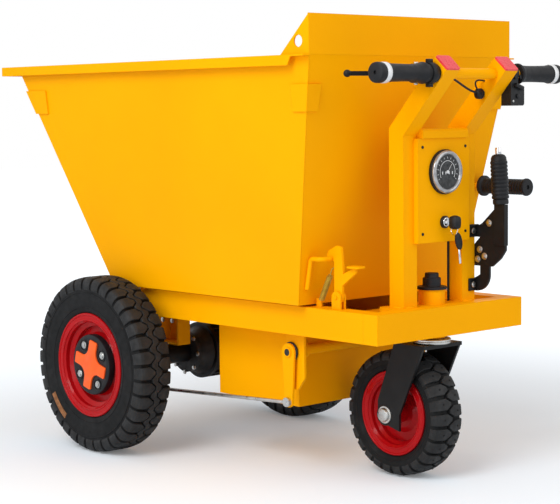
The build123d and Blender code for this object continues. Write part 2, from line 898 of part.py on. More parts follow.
floor_front_x = back(-tub_floor_front)
floor_rear_x = floor_front_x - tub_floor_length
front_slope = tub_front_lean / tub_height
rear_slope = tub_rear_lean / tub_height
with BuildPart() as hinge_lugs:
    for side, sign in sides:
        with BuildSketch(Plane.XZ.offset(-sign * hinge_y)):
            with BuildLine():
                Polyline(
                    (floor_front_x + hinge_lug_low * front_slope, tub_bottom + hinge_lug_low),
                    (floor_front_x + hinge_lug_high * front_slope, tub_bottom + hinge_lug_high),
                    (pin_x + hinge_boss_radius, hinge_z),
                    (pin_x - hinge_boss_radius, hinge_z),
                    close=True,
                )
            make_face()
            with Locations((pin_x, hinge_z)):
                Circle(hinge_boss_radius)
                Circle(hinge_pin_diameter / 2 + hinge_pin_play, mode=Mode.SUBTRACT)
        extrude(amount=hinge_plate / 2, both=True)
hinge_lugs.part.label = "tub_hinge_lugs"
export_step(hinge_lugs.part, "parts/tub_hinge_lugs.step")

rest_pad_rear = tub_floor_end - rest_pad_rear_inset
with BuildPart() as rest_pads:
    with BuildSketch(Plane.XY.offset(frame_top)):
        with Locations((back((rest_pad_front + rest_pad_rear) / 2), 0)):
            with GridLocations(rest_pad_rear - rest_pad_front, 2 * rail_y, 2, 2):
                Rectangle(rest_pad_length, rest_pad_width)
    extrude(amount=tub_gap - rest_pad_play)
rest_pads.part.label = "tub_rest_pads"
export_step(rest_pads.part, "parts/tub_rest_pads.step")

# Tub: one block cut into its folded sheets by planes along the walls
tub_front_x = floor_front_x + tub_front_lean
tub_rear_x = floor_rear_x - tub_rear_lean
rim_front_x = tub_front_x + rim_front_reach
tub_top_y = tub_top_width / 2
rim_outer_y = tub_top_y + rim_side_reach
with BuildSketch(Plane.XZ) as tub_profile:
    with BuildLine():
        Polyline(
            (floor_rear_x, tub_bottom),
            (floor_front_x, tub_bottom),
            (tub_front_x, tub_top),
            (tub_rear_x, tub_top),
            close=True,
        )
    make_face()

side_lean = atan((tub_top_width - tub_floor_width) / 2 / tub_height)
front_lean = atan(front_slope)
rear_lean = atan(rear_slope)
front_plane = Plane(
    origin=(floor_front_x, 0, tub_bottom), x_dir=(0, 1, 0), z_dir=(cos(front_lean), 0, -sin(front_lean))
)
rear_plane = Plane(
    origin=(floor_rear_x, 0, tub_bottom), x_dir=(0, 1, 0), z_dir=(-cos(rear_lean), 0, -sin(rear_lean))
)
floor_plane = Plane(origin=(0, 0, tub_bottom), z_dir=(0, 0, -1))
side_planes = {
    side: Plane(
        origin=(0, sign * tub_floor_width / 2, tub_bottom),
        x_dir=(1, 0, 0),
        z_dir=(0, sign * cos(side_lean), -sin(side_lean)),
    )
    for side, sign in sides
}

# Side walls, each folded out at the top into the rim with its lip
for side, sign in sides:
    with BuildPart() as tub_side:
        extrude(tub_profile.sketch, amount=-sign * tub_top_y)
        split(bisect_by=side_planes[side], keep=Keep.BOTTOM)
        split(bisect_by=side_planes[side].offset(-tub_sheet), keep=Keep.TOP)
        rim_middle_y = sign * (tub_top_y - tub_sheet + rim_outer_y) / 2
        with BuildSketch(Plane.XY.offset(tub_top - tub_sheet)):
            with Locations(((tub_rear_x + rim_front_x) / 2, rim_middle_y)):
                Rectangle(rim_front_x - tub_rear_x, rim_outer_y - tub_top_y + tub_sheet)
        extrude(amount=tub_sheet)
        with BuildSketch(Plane.XZ.offset(-sign * rim_outer_y)):
            with BuildLine():
                Polyline(
                    (tub_rear_x + rim_lip_rear, tub_top),
                    (tub_rear_x + rim_lip_rear + rim_lip / 2, tub_top - rim_lip),
                    (rim_front_x, tub_top - rim_lip),
                    (rim_front_x, tub_top),
                    close=True,
                )
            make_face()
        extrude(amount=sign * tub_sheet)
        with BuildSketch(Plane.YZ.offset(rim_front_x)):
            with Locations((rim_middle_y, tub_top - rim_lip / 2)):
                Rectangle(rim_outer_y - tub_top_y + tub_sheet, rim_lip)
        extrude(amount=-tub_sheet)
    tub_side.part.label = f"tub_side_{side}"
    export_step(tub_side.part, f"parts/tub_side_{side}.step")

with BuildPart() as tub_core:
    extrude(tub_profile.sketch, amount=tub_top_y, both=True)
    for side, sign in sides:
        split(bisect_by=side_planes[side].offset(-tub_sheet), keep=Keep.BOTTOM)

# Front wall with the rim along the nose
with BuildPart() as tub_front:
    add(tub_core.part)
    split(bisect_by=front_plane.offset(-tub_sheet), keep=Keep.TOP)
    nose_start = tub_front_x - tub_sheet
    with BuildSketch(Plane.XY.offset(tub_top - tub_sheet)):
        with Locations(((nose_start + rim_front_x) / 2, 0)):
            Rectangle(rim_front_x - nose_start, 2 * (tub_top_y - tub_sheet - corner_play))
        with Locations(((tub_front_x + corner_play + rim_front_x) / 2, 0)):
            Rectangle(rim_front_x - tub_front_x - corner_play, 2 * (tub_top_y - tub_sheet))
    extrude(amount=tub_sheet)
    with BuildSketch(Plane.YZ.offset(rim_front_x)):
        with Locations((0, tub_top - rim_lip / 2)):
            Rectangle(2 * (tub_top_y - tub_sheet), rim_lip)
    extrude(amount=-tub_sheet)
tub_front.part.label = "tub_front_wall"
export_step(tub_front.part, "parts/tub_front_wall.step")

# Rear wall with the stem of the tipping handle
peg_wall_x = floor_rear_x - rear_slope * (peg_z - tub_bottom)
peg_end_x = peg_wall_x - peg_length
with BuildPart() as tub_rear:
    add(tub_core.part)
    split(bisect_by=rear_plane.offset(-tub_sheet), keep=Keep.TOP)
    with BuildSketch(Plane.YZ.offset(peg_wall_x + tub_sheet / 2)):
        with Locations((-peg_y, peg_z)):
            Circle(peg_stem_diameter / 2)
    extrude(amount=-peg_length - tub_sheet / 2)
tub_rear.part.label = "tub_rear_wall"
export_step(tub_rear.part, "parts/tub_rear_wall.step")

with BuildPart() as tub_floor:
    add(tub_core.part)
    split(bisect_by=front_plane.offset(-tub_sheet), keep=Keep.BOTTOM)
    split(bisect_by=rear_plane.offset(-tub_sheet), keep=Keep.BOTTOM)
    split(bisect_by=floor_plane.offset(-tub_sheet), keep=Keep.TOP)
tub_floor.part.label = "tub_floor"
export_step(tub_floor.part, "parts/tub_floor.step")

# Plates folded round the tub's upper corners, as (name, wall, place of its fold, leaf)
corner_middle = (corner_plate_low + corner_plate_high) / 2
corner_folds = (
    (rear_plane, floor_rear_x - corner_middle * rear_slope, corner_plate_leaf),
    (front_plane, floor_front_x + corner_middle * front_slope, corner_plate_front_leaf),
)
corner_parts = []
for side, sign in sides:
    for wall_plane, fold_x, leaf in corner_folds:
        blocks = []
        for reach in (0, corner_plate):
            with BuildPart() as block:
                with BuildSketch(Plane.XY.offset(tub_bottom + corner_plate_low)):
                    with Locations((fold_x, sign * tub_top_y)):
                        Rectangle(2 * leaf, 2 * leaf)
                extrude(amount=corner_plate_high - corner_plate_low)
                split(bisect_by=side_planes[side].offset(reach), keep=Keep.BOTTOM)
                split(bisect_by=wall_plane.offset(reach), keep=Keep.BOTTOM)
            blocks.append(block.part)
        corner_parts.append(blocks[1] - blocks[0])
with BuildPart() as corner_plates:
    for corner_part in corner_parts:
        add(corner_part)
corner_plates.part.label = "tub_corner_plates"
export_step(corner_plates.part, "parts/tub_corner_plates.step")

# Upright plate above the rear wall, with an ear folded forward at each end
with BuildPart() as extension:
    with BuildSketch(Plane.YZ.offset(tub_rear_x)):
        with Locations((0, tub_top + extension_height / 2)):
            Rectangle(tub_top_width, extension_height)
    extrude(amount=tub_sheet)
    for side, sign in sides:
        with BuildSketch(Plane.XZ.offset(-sign * tub_top_y)):
            with BuildLine():
                Polyline(
                    (tub_rear_x, tub_top),
                    (tub_rear_x + ear_length, tub_top),
                    (tub_rear_x, tub_top + extension_height),
                    close=True,
                )
            make_face()
            with Locations((tub_rear_x + ear_hole_back, tub_top + ear_hole_up)):
                Circle(ear_hole_diameter / 2, mode=Mode.SUBTRACT)
        extrude(amount=sign * tub_sheet)
extension.part.label = "tub_extension"
export_step(extension.part, "parts/tub_extension.step")

# Rubber grip on the handle's stem: a flange, a body and a closed end
peg_sections = (
    (peg_wall_x - peg_gap, peg_flange_width, peg_flange_diameter),
    (peg_wall_x - peg_gap, peg_length - peg_gap + peg_end_wall, peg_diameter),
    (peg_end_x - peg_end_wall + peg_flange_width, peg_flange_width, peg_end_diameter),
)
with BuildPart() as peg_grip:
    for section_start, section_length, section_diameter in peg_sections:
        with BuildSketch(Plane.YZ.offset(section_start)):
            with Locations((-peg_y, peg_z)):
                Circle(section_diameter / 2)
        extrude(amount=-section_length)
    with BuildSketch(Plane.YZ.offset(peg_wall_x)):
        with Locations((-peg_y, peg_z)):
            Circle(peg_stem_diameter / 2)
    extrude(amount=-peg_length, mode=Mode.SUBTRACT)
peg_grip.part.label = "tub_handle_grip"
export_step(peg_grip.part, "parts/tub_handle_grip.step")

# Steering posts: upright square tubes that lean back above a mitred bend
lean = radians(post_lean)
post_half = post_size / 2
mitre = post_half * tan(lean / 2)
post_rear_x = back(post_x) - post_half
post_outer_y = post_spacing / 2 + post_half
bar_length = 2 * (post_outer_y + bar_overhang)
post_end_x = back(post_x) - post_upper_length * sin(lean)
post_end_z = post_bend_z + post_upper_length * cos(lean)
bar_x = back(post_x) - (post_upper_length - bar_setback) * sin(lean)
bar_z = post_bend_z + (post_upper_length - bar_setback) * cos(lean)
with BuildPart() as posts:
    for side, sign in sides:
        with BuildSketch(Plane.XZ.offset(-sign * post_spacing / 2)):
            with BuildLine():
                Polyline(
                    (post_rear_x, frame_top),
                    (post_rear_x, post_bend_z - mitre),
                    (post_end_x - post_half * cos(lean), post_end_z - post_half * sin(lean)),
                    (post_end_x + post_half * cos(lean), post_end_z + post_half * sin(lean)),
                    (post_rear_x + post_size, post_bend_z + mitre),
                    (post_rear_x + post_size, frame_top),
                    close=True,
                )
            make_face()
            with Locations((bar_x, bar_z)):
                Circle(bar_diameter / 2, mode=Mode.SUBTRACT)
        extrude(amount=post_half, both=True)
posts.part.label = "steering_posts"
export_step(posts.part, "parts/steering_posts.step")

with BuildPart() as post_caps:
    for side, sign in sides:
        cap_plane = Plane(
            origin=(post_end_x, sign * post_spacing / 2, post_end_z),
            x_dir=(0, 1, 0),
            z_dir=(-sin(lean), 0, cos(lean)),
        )
        with BuildSketch(cap_plane):
            RectangleRounded(post_size, post_size, cap_thickness)
        extrude(amount=cap_thickness)
post_caps.part.label = "post_caps"
export_step(post_caps.part, "parts/post_caps.step")

with BuildPart() as handlebar:
    with BuildSketch(Plane.XZ):
        with Locations((bar_x, bar_z)):
            Circle(bar_diameter / 2)
    extrude(amount=bar_length / 2, both=True)
handlebar.part.label = "handlebar"
export_step(handlebar.part, "parts/handlebar.step")

# Grips as (start, end, radius) along the bar, from the post's outer face outwards
grip_sections = {
    "left": ((33, 64, 22), (64, 123, 18), (123, 137, 20), (137, 169, 20.5)),
    "right": ((25, 47, 20), (47, 105, 17.5), (105, 134, 22), (134, 148, 20), (148, 169, 20.5)),
}
for side, sign in sides:
    with BuildPart() as grip:
        for start, end, radius in grip_sections[side]:
            with BuildSketch(Plane.XZ.offset(-sign * (post_outer_y + start))):
                with Locations((bar_x, bar_z)):
                    Circle(radius)
            extrude(amount=-sign * (end - start))
        with BuildSketch(Plane.XZ):
            with Locations((bar_x, bar_z)):
                Circle(bar_diameter / 2)
        extrude(amount=-sign * bar_length / 2, mode=Mode.SUBTRACT)
    grip.part.label = f"grip_{side}"
    export_step(grip.part, f"parts/grip_{side}.step")

# Brake lever at the left grip with its clamp on the bar
clamp_start = post_outer_y + perch_gap
clamp_end = clamp_start + perch_width
lever_pivot_x = bar_x + lever_pivot
lever_tip_y = post_outer_y + lever_tip_overhang
with BuildPart() as brake_lever:
    with BuildSketch(Plane.XZ.offset(-clamp_start)):
        with Locations((bar_x, bar_z), (lever_pivot_x, bar_z)):
            Circle(perch_diameter / 2)
    extrude(amount=-perch_width)
    with BuildSketch(Plane.XY.offset(bar_z - lever_thickness / 2)):
        with BuildLine():
            Polyline(
                (lever_pivot_x, clamp_start + lever_root),
                (lever_pivot_x, clamp_end),
                (bar_x + lever_reach - lever_tip_width / 2, lever_tip_y),
                (bar_x + lever_reach + lever_tip_width / 2, lever_tip_y),
                (lever_pivot_x + perch_diameter / 2, clamp_start + lever_root),
                close=True,
            )
        make_face()
    extrude(amount=lever_thickness)
    with Locations((bar_x + lever_reach, lever_tip_y, bar_z)):
        Sphere(lever_ball_diameter / 2)
    with BuildSketch(Plane.XZ.offset(-clamp_start)):
        with Locations((bar_x, bar_z)):
            Circle(bar_diameter / 2)
    extrude(amount=-perch_width, mode=Mode.SUBTRACT)
brake_lever.part.label = "brake_lever"
export_step(brake_lever.part, "parts/brake_lever.step")

# Switch housing: a clamp on the bar with a box that hangs under the throttle
with BuildPart() as switch:
    with BuildSketch(Plane.XZ.offset(clamp_start)):
        with Locations((bar_x, bar_z)):
            Circle(switch_clamp_diameter / 2)
        with Locations((bar_x, bar_z - switch_drop / 2)):
            Rectangle(switch_length, switch_drop)
    extrude(amount=switch_clamp_width)
    with BuildSketch(Plane.XZ.offset(clamp_start)):
        with Locations((bar_x, bar_z - switch_drop + switch_box_height / 2)):
            RectangleRounded(switch_length, switch_box_height, switch_round)
    extrude(amount=switch_box_width)
    with BuildSketch(Plane.XZ.offset(clamp_start)):
        with Locations((bar_x, bar_z)):
            Circle(bar_diameter / 2)
    extrude(amount=switch_clamp_width, mode=Mode.SUBTRACT)
switch.part.label = "switch_housing"
export_step(switch.part, "parts/switch_housing.step")

# Control panel across the rear faces of the posts, a shallow pan with a hood on top
panel_top = panel_bottom + panel_height
panel_face_x = post_rear_x - panel_depth
with BuildPart() as panel:
    with BuildSketch(Plane.YZ.offset(post_rear_x)):
        with Locations((0, panel_bottom + panel_height / 2)):
            Rectangle(panel_width, panel_height)
    extrude(amount=-panel_depth)
    with BuildSketch(Plane.YZ.offset(post_rear_x)):
        with Locations((0, panel_bottom + panel_height / 2)):
            Rectangle(panel_width - 2 * panel_wall, panel_height - 2 * panel_wall)
    extrude(amount=panel_wall - panel_depth, mode=Mode.SUBTRACT)
    with BuildSketch(Plane.XZ):
        with Locations((post_rear_x - hood_depth / 2, panel_top + hood_height / 2)):
            Rectangle(hood_depth, hood_height)
    extrude(amount=panel_width / 2 - hood_inset, both=True)
    fillet(panel.edges().filter_by(Axis.Y).group_by(Axis.Z)[-1].sort_by(Axis.X)[0], hood_round)
panel.part.label = "control_panel"
export_step(panel.part, "parts/control_panel.step")

face_plane = Plane(origin=(panel_face_x, 0, 0), x_dir=(0, -1, 0), z_dir=(-1, 0, 0))
with BuildPart() as gauge:
    with BuildSketch(face_plane):
        with Locations((0, gauge_z)):
            Circle(gauge_diameter / 2)
    extrude(amount=gauge_height)
    with BuildSketch(face_plane.offset(gauge_height)):
        with Locations((0, gauge_z)):
            Circle(gauge_diameter / 2 - gauge_rim)
    extrude(amount=-gauge_recess, mode=Mode.SUBTRACT)
gauge.part.label = "gauge"
export_step(gauge.part, "parts/gauge.step")

key_head_x = panel_face_x - key_switch_height - key_stem_length - key_head_diameter / 2 + panel_wall
with BuildPart() as key_switch:
    with BuildSketch(face_plane):
        with Locations((0, key_switch_z)):
            Circle(key_switch_diameter / 2)
    extrude(amount=key_switch_height)
    with BuildSketch(face_plane.offset(key_switch_height)):
        with Locations((0, key_switch_z)):
            Rectangle(key_stem_width, key_stem_height)
    extrude(amount=key_stem_length)
    with BuildSketch(Plane.XZ):
        with Locations((key_head_x, key_switch_z)):
            Circle(key_head_diameter / 2)
    extrude(amount=key_head_thickness / 2, both=True)
key_switch.part.label = "key_switch"
export_step(key_switch.part, "parts/key_switch.step")

# Hand brake on the right post: bolted plate with its curved stay, lever and grip
stay_outer = back(post_x + hand_stay_end)
stay_inner = back(post_x + hand_stay_start)
stay_top = frame_top + hand_plate_foot
stay_turn_z = frame_top + hand_stay_turn
lug_x = back(post_x + hand_lug_behind)
lug_z = frame_top + hand_lug_low
with BuildPart() as hand_bracket:
    with BuildSketch(Plane.XZ.offset(post_outer_y)):
        with BuildLine():
            Polyline(
                *[(back(post_x + behind), frame_top + height) for behind, height in hand_plate_outline],
                close=True,
            )
        make_face()
        with BuildLine():
            Line((stay_inner, stay_top), (stay_outer, stay_top))
            Line((stay_outer, stay_top), (stay_outer, stay_turn_z))
            TangentArc((stay_outer, stay_turn_z), (lug_x, lug_z - hand_lug_radius), tangent=(0, -1))
            Line((lug_x, lug_z - hand_lug_radius), (lug_x, lug_z + hand_lug_radius))
            ThreePointArc(
                (lug_x, lug_z + hand_lug_radius),
                ((stay_inner + lug_x) / 2 - hand_lug_radius / 4, (lug_z + hand_lug_radius + stay_turn_z) / 2),
                (stay_inner, stay_turn_z),
            )
            Line((stay_inner, stay_turn_z), (stay_inner, stay_top))
        make_face()
        with Locations((lug_x, lug_z), (lug_x, frame_top + hand_lug_high)):
            Circle(hand_lug_radius)
    extrude(amount=hand_brake_plate)
hand_bracket.part.label = "hand_brake_bracket"
export_step(hand_bracket.part, "parts/hand_brake_bracket.step")

# Lever as a channel over the plate, closed above it
hand_lever_y = -(post_outer_y + hand_brake_plate / 2)
hand_lever_x = back(post_x + hand_lever_setback)
hand_grip_bottom = frame_top + hand_grip_rise
with BuildPart() as hand_lever:
    with BuildSketch(Plane.XY.offset(frame_top + hand_lever_foot)):
        with Locations((hand_lever_x, hand_lever_y)):
            Rectangle(hand_lever_length, hand_brake_plate + 2 * hand_lever_wall)
    extrude(amount=hand_grip_rise - hand_lever_foot)
    with BuildSketch(Plane.XY.offset(frame_top + hand_lever_foot)):
        with Locations((hand_lever_x, hand_lever_y)):
            Rectangle(hand_lever_length, hand_brake_plate)
    extrude(amount=hand_plate_rise - hand_lever_foot, mode=Mode.SUBTRACT)
hand_lever.part.label = "hand_brake_lever"
export_step(hand_lever.part, "parts/hand_brake_lever.step")

# Its grip leans slightly towards the post
hand_tilt = radians(hand_grip_tilt)
hand_grip_plane = Plane(
    origin=(hand_lever_x, hand_lever_y, hand_grip_bottom),
    x_dir=(0, 1, 0),
    z_dir=(sin(hand_tilt), 0, cos(hand_tilt)),
)
hand_grip_foot = hand_grip_diameter / 2 * sin(hand_tilt)
hand_grip_sections = (
    (0, hand_grip_collar, hand_grip_diameter),
    (hand_grip_collar, hand_grip_length - 2 * hand_grip_collar, hand_grip_waist),
    (hand_grip_length - hand_grip_collar, hand_grip_collar, hand_grip_diameter),
    (hand_grip_length, hand_button_height, hand_button_diameter),
)
with BuildPart() as hand_grip:
    for section_start, section_length, section_diameter in hand_grip_sections:
        with BuildSketch(hand_grip_plane.offset(section_start + hand_grip_foot)):
            Circle(section_diameter / 2)
        extrude(amount=section_length)
    with BuildSketch(Plane.XY.offset(hand_grip_bottom)):
        with Locations((hand_lever_x, hand_lever_y)):
            Rectangle(hand_grip_waist / 2, hand_brake_plate)
    extrude(amount=2 * hand_grip_foot + hand_grip_collar)
hand_grip.part.label = "hand_brake_grip"
export_step(hand_grip.part, "parts/hand_brake_grip.step")

# Tub latch on the left rail: lugs with their pin, and a small foot for the spring
latch_lug_middle = latch_plate / 2 + latch_lug_gap + latch_lug_plate / 2
spring_foot_x = back(latch_x - latch_spring_foot_lead)
with BuildPart() as latch_lugs:
    for step in (latch_lug_middle, -latch_lug_middle):
        with BuildSketch(Plane.XZ.offset(-latch_y - step)):
            with Locations((back(latch_x), (frame_top + latch_pin_z) / 2)):
                Rectangle(latch_lug_width, latch_pin_z - frame_top)
            with Locations((back(latch_x), latch_pin_z)):
                Circle(latch_lug_width / 2)
        extrude(amount=latch_lug_plate / 2, both=True)
    with BuildSketch(Plane.XZ.offset(-latch_y)):
        with Locations((back(latch_x), latch_pin_z)):
            Circle(latch_pin_radius)
    extrude(amount=latch_lug_middle + latch_lug_plate / 2 + latch_pin_end, both=True)
    with BuildSketch(Plane.XZ.offset(-latch_y)):
        with Locations((spring_foot_x + latch_foot_width / 2, frame_top + latch_foot_height / 2)):
            Rectangle(latch_foot_width, latch_foot_height)
    extrude(amount=latch_lug_plate / 2, both=True)
latch_lugs.part.label = "latch_lugs"
export_step(latch_lugs.part, "parts/latch_lugs.step")

# Hook plate with its beak over the tub's rod and a pedal behind
with BuildPart() as latch_hook:
    with BuildSketch(Plane.XZ.offset(-latch_y)) as hook_plate:
        with BuildLine():
            Polyline(
                *[(back(latch_x + behind), frame_top + height) for behind, height in latch_hook_outline],
                close=True,
            )
        make_face()
        fillet(hook_plate.vertices().sort_by(Axis.Y)[-3:], latch_hook_round)
        with Locations((back(latch_x), latch_pin_z)):
            Circle(latch_lug_width / 2)
            Circle(latch_pin_radius + shaft_play, mode=Mode.SUBTRACT)
    extrude(amount=latch_plate / 2, both=True)
    with BuildSketch(Plane.XY.offset(latch_pad_z)):
        with Locations((back(latch_x + latch_pad_setback), latch_y)):
            RectangleRounded(latch_pad_length, latch_pad_width, latch_plate)
    extrude(amount=latch_lug_plate)
latch_hook.part.label = "latch_hook"
export_step(latch_hook.part, "parts/latch_hook.step")

spring_eye = Vector(back(latch_x - latch_spring_eye_lead), latch_y, frame_top + latch_spring_eye_rise)
spring_foot = Vector(spring_foot_x, latch_y, frame_top + latch_spring_foot_rise)
spring_run = spring_foot - spring_eye
spring_body_start = spring_eye + spring_run * latch_spring_body_start
spring_body_length = spring_run.length * (latch_spring_body_end - latch_spring_body_start)
with BuildPart() as latch_spring:
    with BuildSketch(Plane(origin=spring_eye, z_dir=spring_run)):
        Circle(latch_spring_wire / 2)
    extrude(amount=spring_run.length)
    with BuildSketch(Plane(origin=spring_body_start, z_dir=spring_run)):
        Circle(latch_spring_diameter / 2)
    extrude(amount=spring_body_length)
latch_spring.part.label = "latch_spring"
export_step(latch_spring.part, "parts/latch_spring.step")

# Rod on the tub that the hook holds
rod_radius = latch_rod_diameter / 2
rod_offset = rod_radius / cos(rear_lean)
latch_rod_wall_z = frame_top + latch_rod_wall_rise
rod_wall_x = floor_rear_x - rear_slope * (latch_rod_wall_z - tub_bottom) - rod_offset
rod_end_x = back(latch_x - latch_rod_lead)
rod_bend_x = floor_rear_x - rear_slope * (latch_rod_z - tub_bottom) - rod_offset
with BuildPart() as latch_rod:
    with BuildLine() as rod_path:
        FilletPolyline(
            (rod_wall_x, latch_rod_start_y, latch_rod_wall_z),
            (rod_bend_x, latch_rod_start_y, latch_rod_z),
            (rod_end_x, latch_rod_start_y, latch_rod_z),
            (rod_end_x, latch_y + latch_plate / 2 + latch_side_gap, latch_rod_z),
            radius=latch_rod_bend,
        )
    with BuildSketch(Plane(origin=rod_path.line @ 0, z_dir=rod_path.line % 0)):
        Circle(rod_radius)
    sweep()
latch_rod.part.label = "tub_latch_rod"
export_step(latch_rod.part, "parts/tub_latch_rod.step")

# Control cable: from the panel's back through the slot in the head block to the battery box
cable_z = frame_bottom - cable_drop
cable_points = (
    (back(cable_x_back), cable_y, panel_bottom + cable_top_lap),
    (back(cable_x_back), cable_y, cable_z),
    (back(box_front + box_length), cable_y, cable_z),
)
print("control cable bend radius", cable_bend)
with BuildPart() as cable:
    with BuildLine() as cable_path:
        FilletPolyline(*cable_points, radius=cable_bend)
    with BuildSketch(Plane(origin=cable_path.line @ 0, z_dir=cable_path.line % 0)):
        Circle(cable_diameter / 2)
    sweep()
cable.part.label = "control_cable"
export_step(cable.part, "parts/control_cable.step")

# Rear fork with its king pin and bearing ring
rear_axle_x = back(head_x - fork_trail)
fork_middle_x = back(head_x - fork_shift)
crown_front_x = fork_middle_x + fork_length / 2
crown_rear_x = fork_middle_x - fork_length / 2
foot_front_x = back(head_x - fork_foot_front)
foot_rear_x = foot_front_x - fork_foot_width
with BuildPart() as fork:
    with BuildSketch(Plane.XY.offset(fork_top)):
        with Locations((fork_middle_x, 0)):
            Rectangle(fork_length, fork_width)
    extrude(amount=-fork_plate)
    for side, sign in sides:
        with BuildSketch(Plane.XZ.offset(-sign * fork_width / 2)):
            with BuildLine():
                Polyline(
                    (crown_front_x, fork_top),
                    (foot_front_x, fork_neck_high),
                    (foot_front_x, fork_foot_high),
                    (foot_rear_x, fork_foot_low),
                    (foot_rear_x, fork_neck_low),
                    (crown_rear_x, fork_top),
                    close=True,
                )
            make_face()
            with Locations((rear_axle_x, rear_axle_z)):
                Circle(rear_axle_diameter / 2, mode=Mode.SUBTRACT)
        extrude(amount=sign * fork_leg_thickness)
    with BuildSketch(Plane.XY.offset(fork_top)):
        with Locations((back(head_x), 0)):
            Circle(king_pin_diameter / 2)
    extrude(amount=head_tube_top - king_pin_drop - fork_top)
    with BuildSketch(Plane.XY.offset(fork_top)):
        with Locations((back(head_x), 0)):
            Circle(bearing_diameter / 2)
    extrude(amount=bearing_height)
fork.part.label = "rear_fork"
export_step(fork.part, "parts/rear_fork.step")

with BuildPart() as rear_axle:
    with BuildSketch(Plane.XZ):
        with Locations((rear_axle_x, rear_axle_z)):
            Circle(rear_axle_diameter / 2)
    extrude(amount=fork_width / 2, both=True)
    for side, sign in sides:
        with BuildSketch(Plane.XZ.offset(-sign * fork_width / 2)):
            with Locations((rear_axle_x, rear_axle_z)):
                RegularPolygon(axle_head_diameter / 2, 6)
        extrude(amount=-sign * axle_head_thickness)
rear_axle.part.label = "rear_axle_bolt"
export_step(rear_axle.part, "parts/rear_axle_bolt.step")

# Rear wheel
rear_wheel_axis = Axis((rear_axle_x, 0, rear_axle_z), (0, 1, 0))
rear_wheel_plane = Plane(origin=(rear_axle_x, 0, rear_axle_z), x_dir=(0, 1, 0), z_dir=(1, 0, 0))
rear_hub_plane = Plane(origin=(rear_axle_x, 0, rear_axle_z), x_dir=(1, 0, 0), z_dir=(0, 1, 0))
rear_rim_half = rear_rim_width / 2
rear_rim_radius = rear_rim_diameter / 2
rear_seat_radius = rear_rim_radius - rim_flange_height
rear_tyre_form = make_tyre(
    rear_tyre_width, rear_tyre_diameter, rear_rim_width, rear_rim_diameter, rear_lug_count, rear_rib_width
)
with BuildPart() as rear_tyre:
    with Locations(rear_hub_plane):
        add(rear_tyre_form)
rear_tyre.part.label = "rear_tyre"
export_step(rear_tyre.part, "parts/rear_tyre.step")

hub_half = fork_width / 2 - fork_leg_thickness - rear_hub_gap
rear_bore = rear_axle_diameter / 2 + shaft_play
rear_rim_inner = rear_seat_radius - rim_wall
rear_well_inner = rear_rim_inner - rear_well_depth
rear_well_end = rear_rim_half - rear_well_inset
with BuildPart() as rear_rim:
    with BuildSketch(rear_wheel_plane):
        with BuildLine():
            Polyline(
                (0, rear_bore),
                (hub_half, rear_bore),
                (hub_half, rear_hub_diameter / 2),
                (rear_disc_step, rear_hub_diameter / 2),
                (rear_disc_step, rear_dish_radius),
                (rim_disc_thickness, rear_dish_radius + rear_disc_step),
                (rim_disc_thickness, rear_well_inner),
                (rear_well_end, rear_well_inner),
                (rear_well_end + rim_well_slope, rear_rim_inner),
                (rear_rim_half - rim_lip_chamfer, rear_rim_inner),
                (rear_rim_half, rear_rim_inner + rim_lip_chamfer),
                (rear_rim_half, rear_rim_radius),
                (rear_rim_half - rim_wall, rear_rim_radius),
                (rear_rim_half - rim_wall, rear_seat_radius),
                (rear_well_end + rim_well_slope, rear_seat_radius),
                (rear_well_end, rear_seat_radius - rear_well_depth),
                (0, rear_seat_radius - rear_well_depth),
                close=True,
            )
        make_face()
        mirror(about=Plane.YZ)
    revolve(axis=rear_wheel_axis)
rear_rim.part.label = "rear_rim"
export_step(rear_rim.part, "parts/rear_rim.step")
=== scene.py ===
import json
import math
import bmesh
import bpy
from mathutils import Matrix, Vector


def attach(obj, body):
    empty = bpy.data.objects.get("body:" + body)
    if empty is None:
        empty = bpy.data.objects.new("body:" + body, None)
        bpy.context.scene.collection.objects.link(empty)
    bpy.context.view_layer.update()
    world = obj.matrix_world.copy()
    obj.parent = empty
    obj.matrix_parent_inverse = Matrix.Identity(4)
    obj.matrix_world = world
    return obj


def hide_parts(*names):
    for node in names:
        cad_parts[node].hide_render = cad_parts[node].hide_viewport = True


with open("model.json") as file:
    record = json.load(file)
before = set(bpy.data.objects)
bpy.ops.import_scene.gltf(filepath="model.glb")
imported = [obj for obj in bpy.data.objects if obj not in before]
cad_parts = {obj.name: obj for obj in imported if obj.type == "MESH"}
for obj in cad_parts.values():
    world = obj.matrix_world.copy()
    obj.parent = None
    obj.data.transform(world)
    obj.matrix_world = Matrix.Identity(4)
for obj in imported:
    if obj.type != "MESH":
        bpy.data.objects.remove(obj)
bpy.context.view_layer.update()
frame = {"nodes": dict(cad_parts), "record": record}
nodes = frame["nodes"]
print("frame loaded:", len(nodes), "nodes")

# Camera, fitted to the picture's own view of the cart
cameraSettings = {
    "place": (-2.7903, 2.5426, 0.7852),
    "right": (-0.67645, -0.73642, -0.01042),
    "up": (0.05708, -0.06654, 0.99615),
    "view": (0.73428, -0.67325, -0.08705),
    "focalPixels": 1638.07,
    "imageWidth": 560,
    "sensorWidth": 36.0,
    "clipEnd": 60.0,
}
cameraData = bpy.data.cameras.new("photoCamera")
cameraData.sensor_fit = "HORIZONTAL"
cameraData.sensor_width = cameraSettings["sensorWidth"]
cameraData.lens = (
    cameraSettings["focalPixels"] * cameraSettings["sensorWidth"] / cameraSettings["imageWidth"]
)
cameraData.clip_end = cameraSettings["clipEnd"]
camera = bpy.data.objects.new("photoCamera", cameraData)
rightAxis = Vector(cameraSettings["right"])
backAxis = -Vector(cameraSettings["view"])
upAxis = Vector(cameraSettings["up"])
camera.matrix_world = Matrix.Translation(cameraSettings["place"]) @ Matrix((
    (rightAxis.x, upAxis.x, backAxis.x),
    (rightAxis.y, upAxis.y, backAxis.y),
    (rightAxis.z, upAxis.z, backAxis.z),
)).to_4x4()
bpy.context.scene.collection.objects.link(camera)
bpy.context.scene.camera = camera
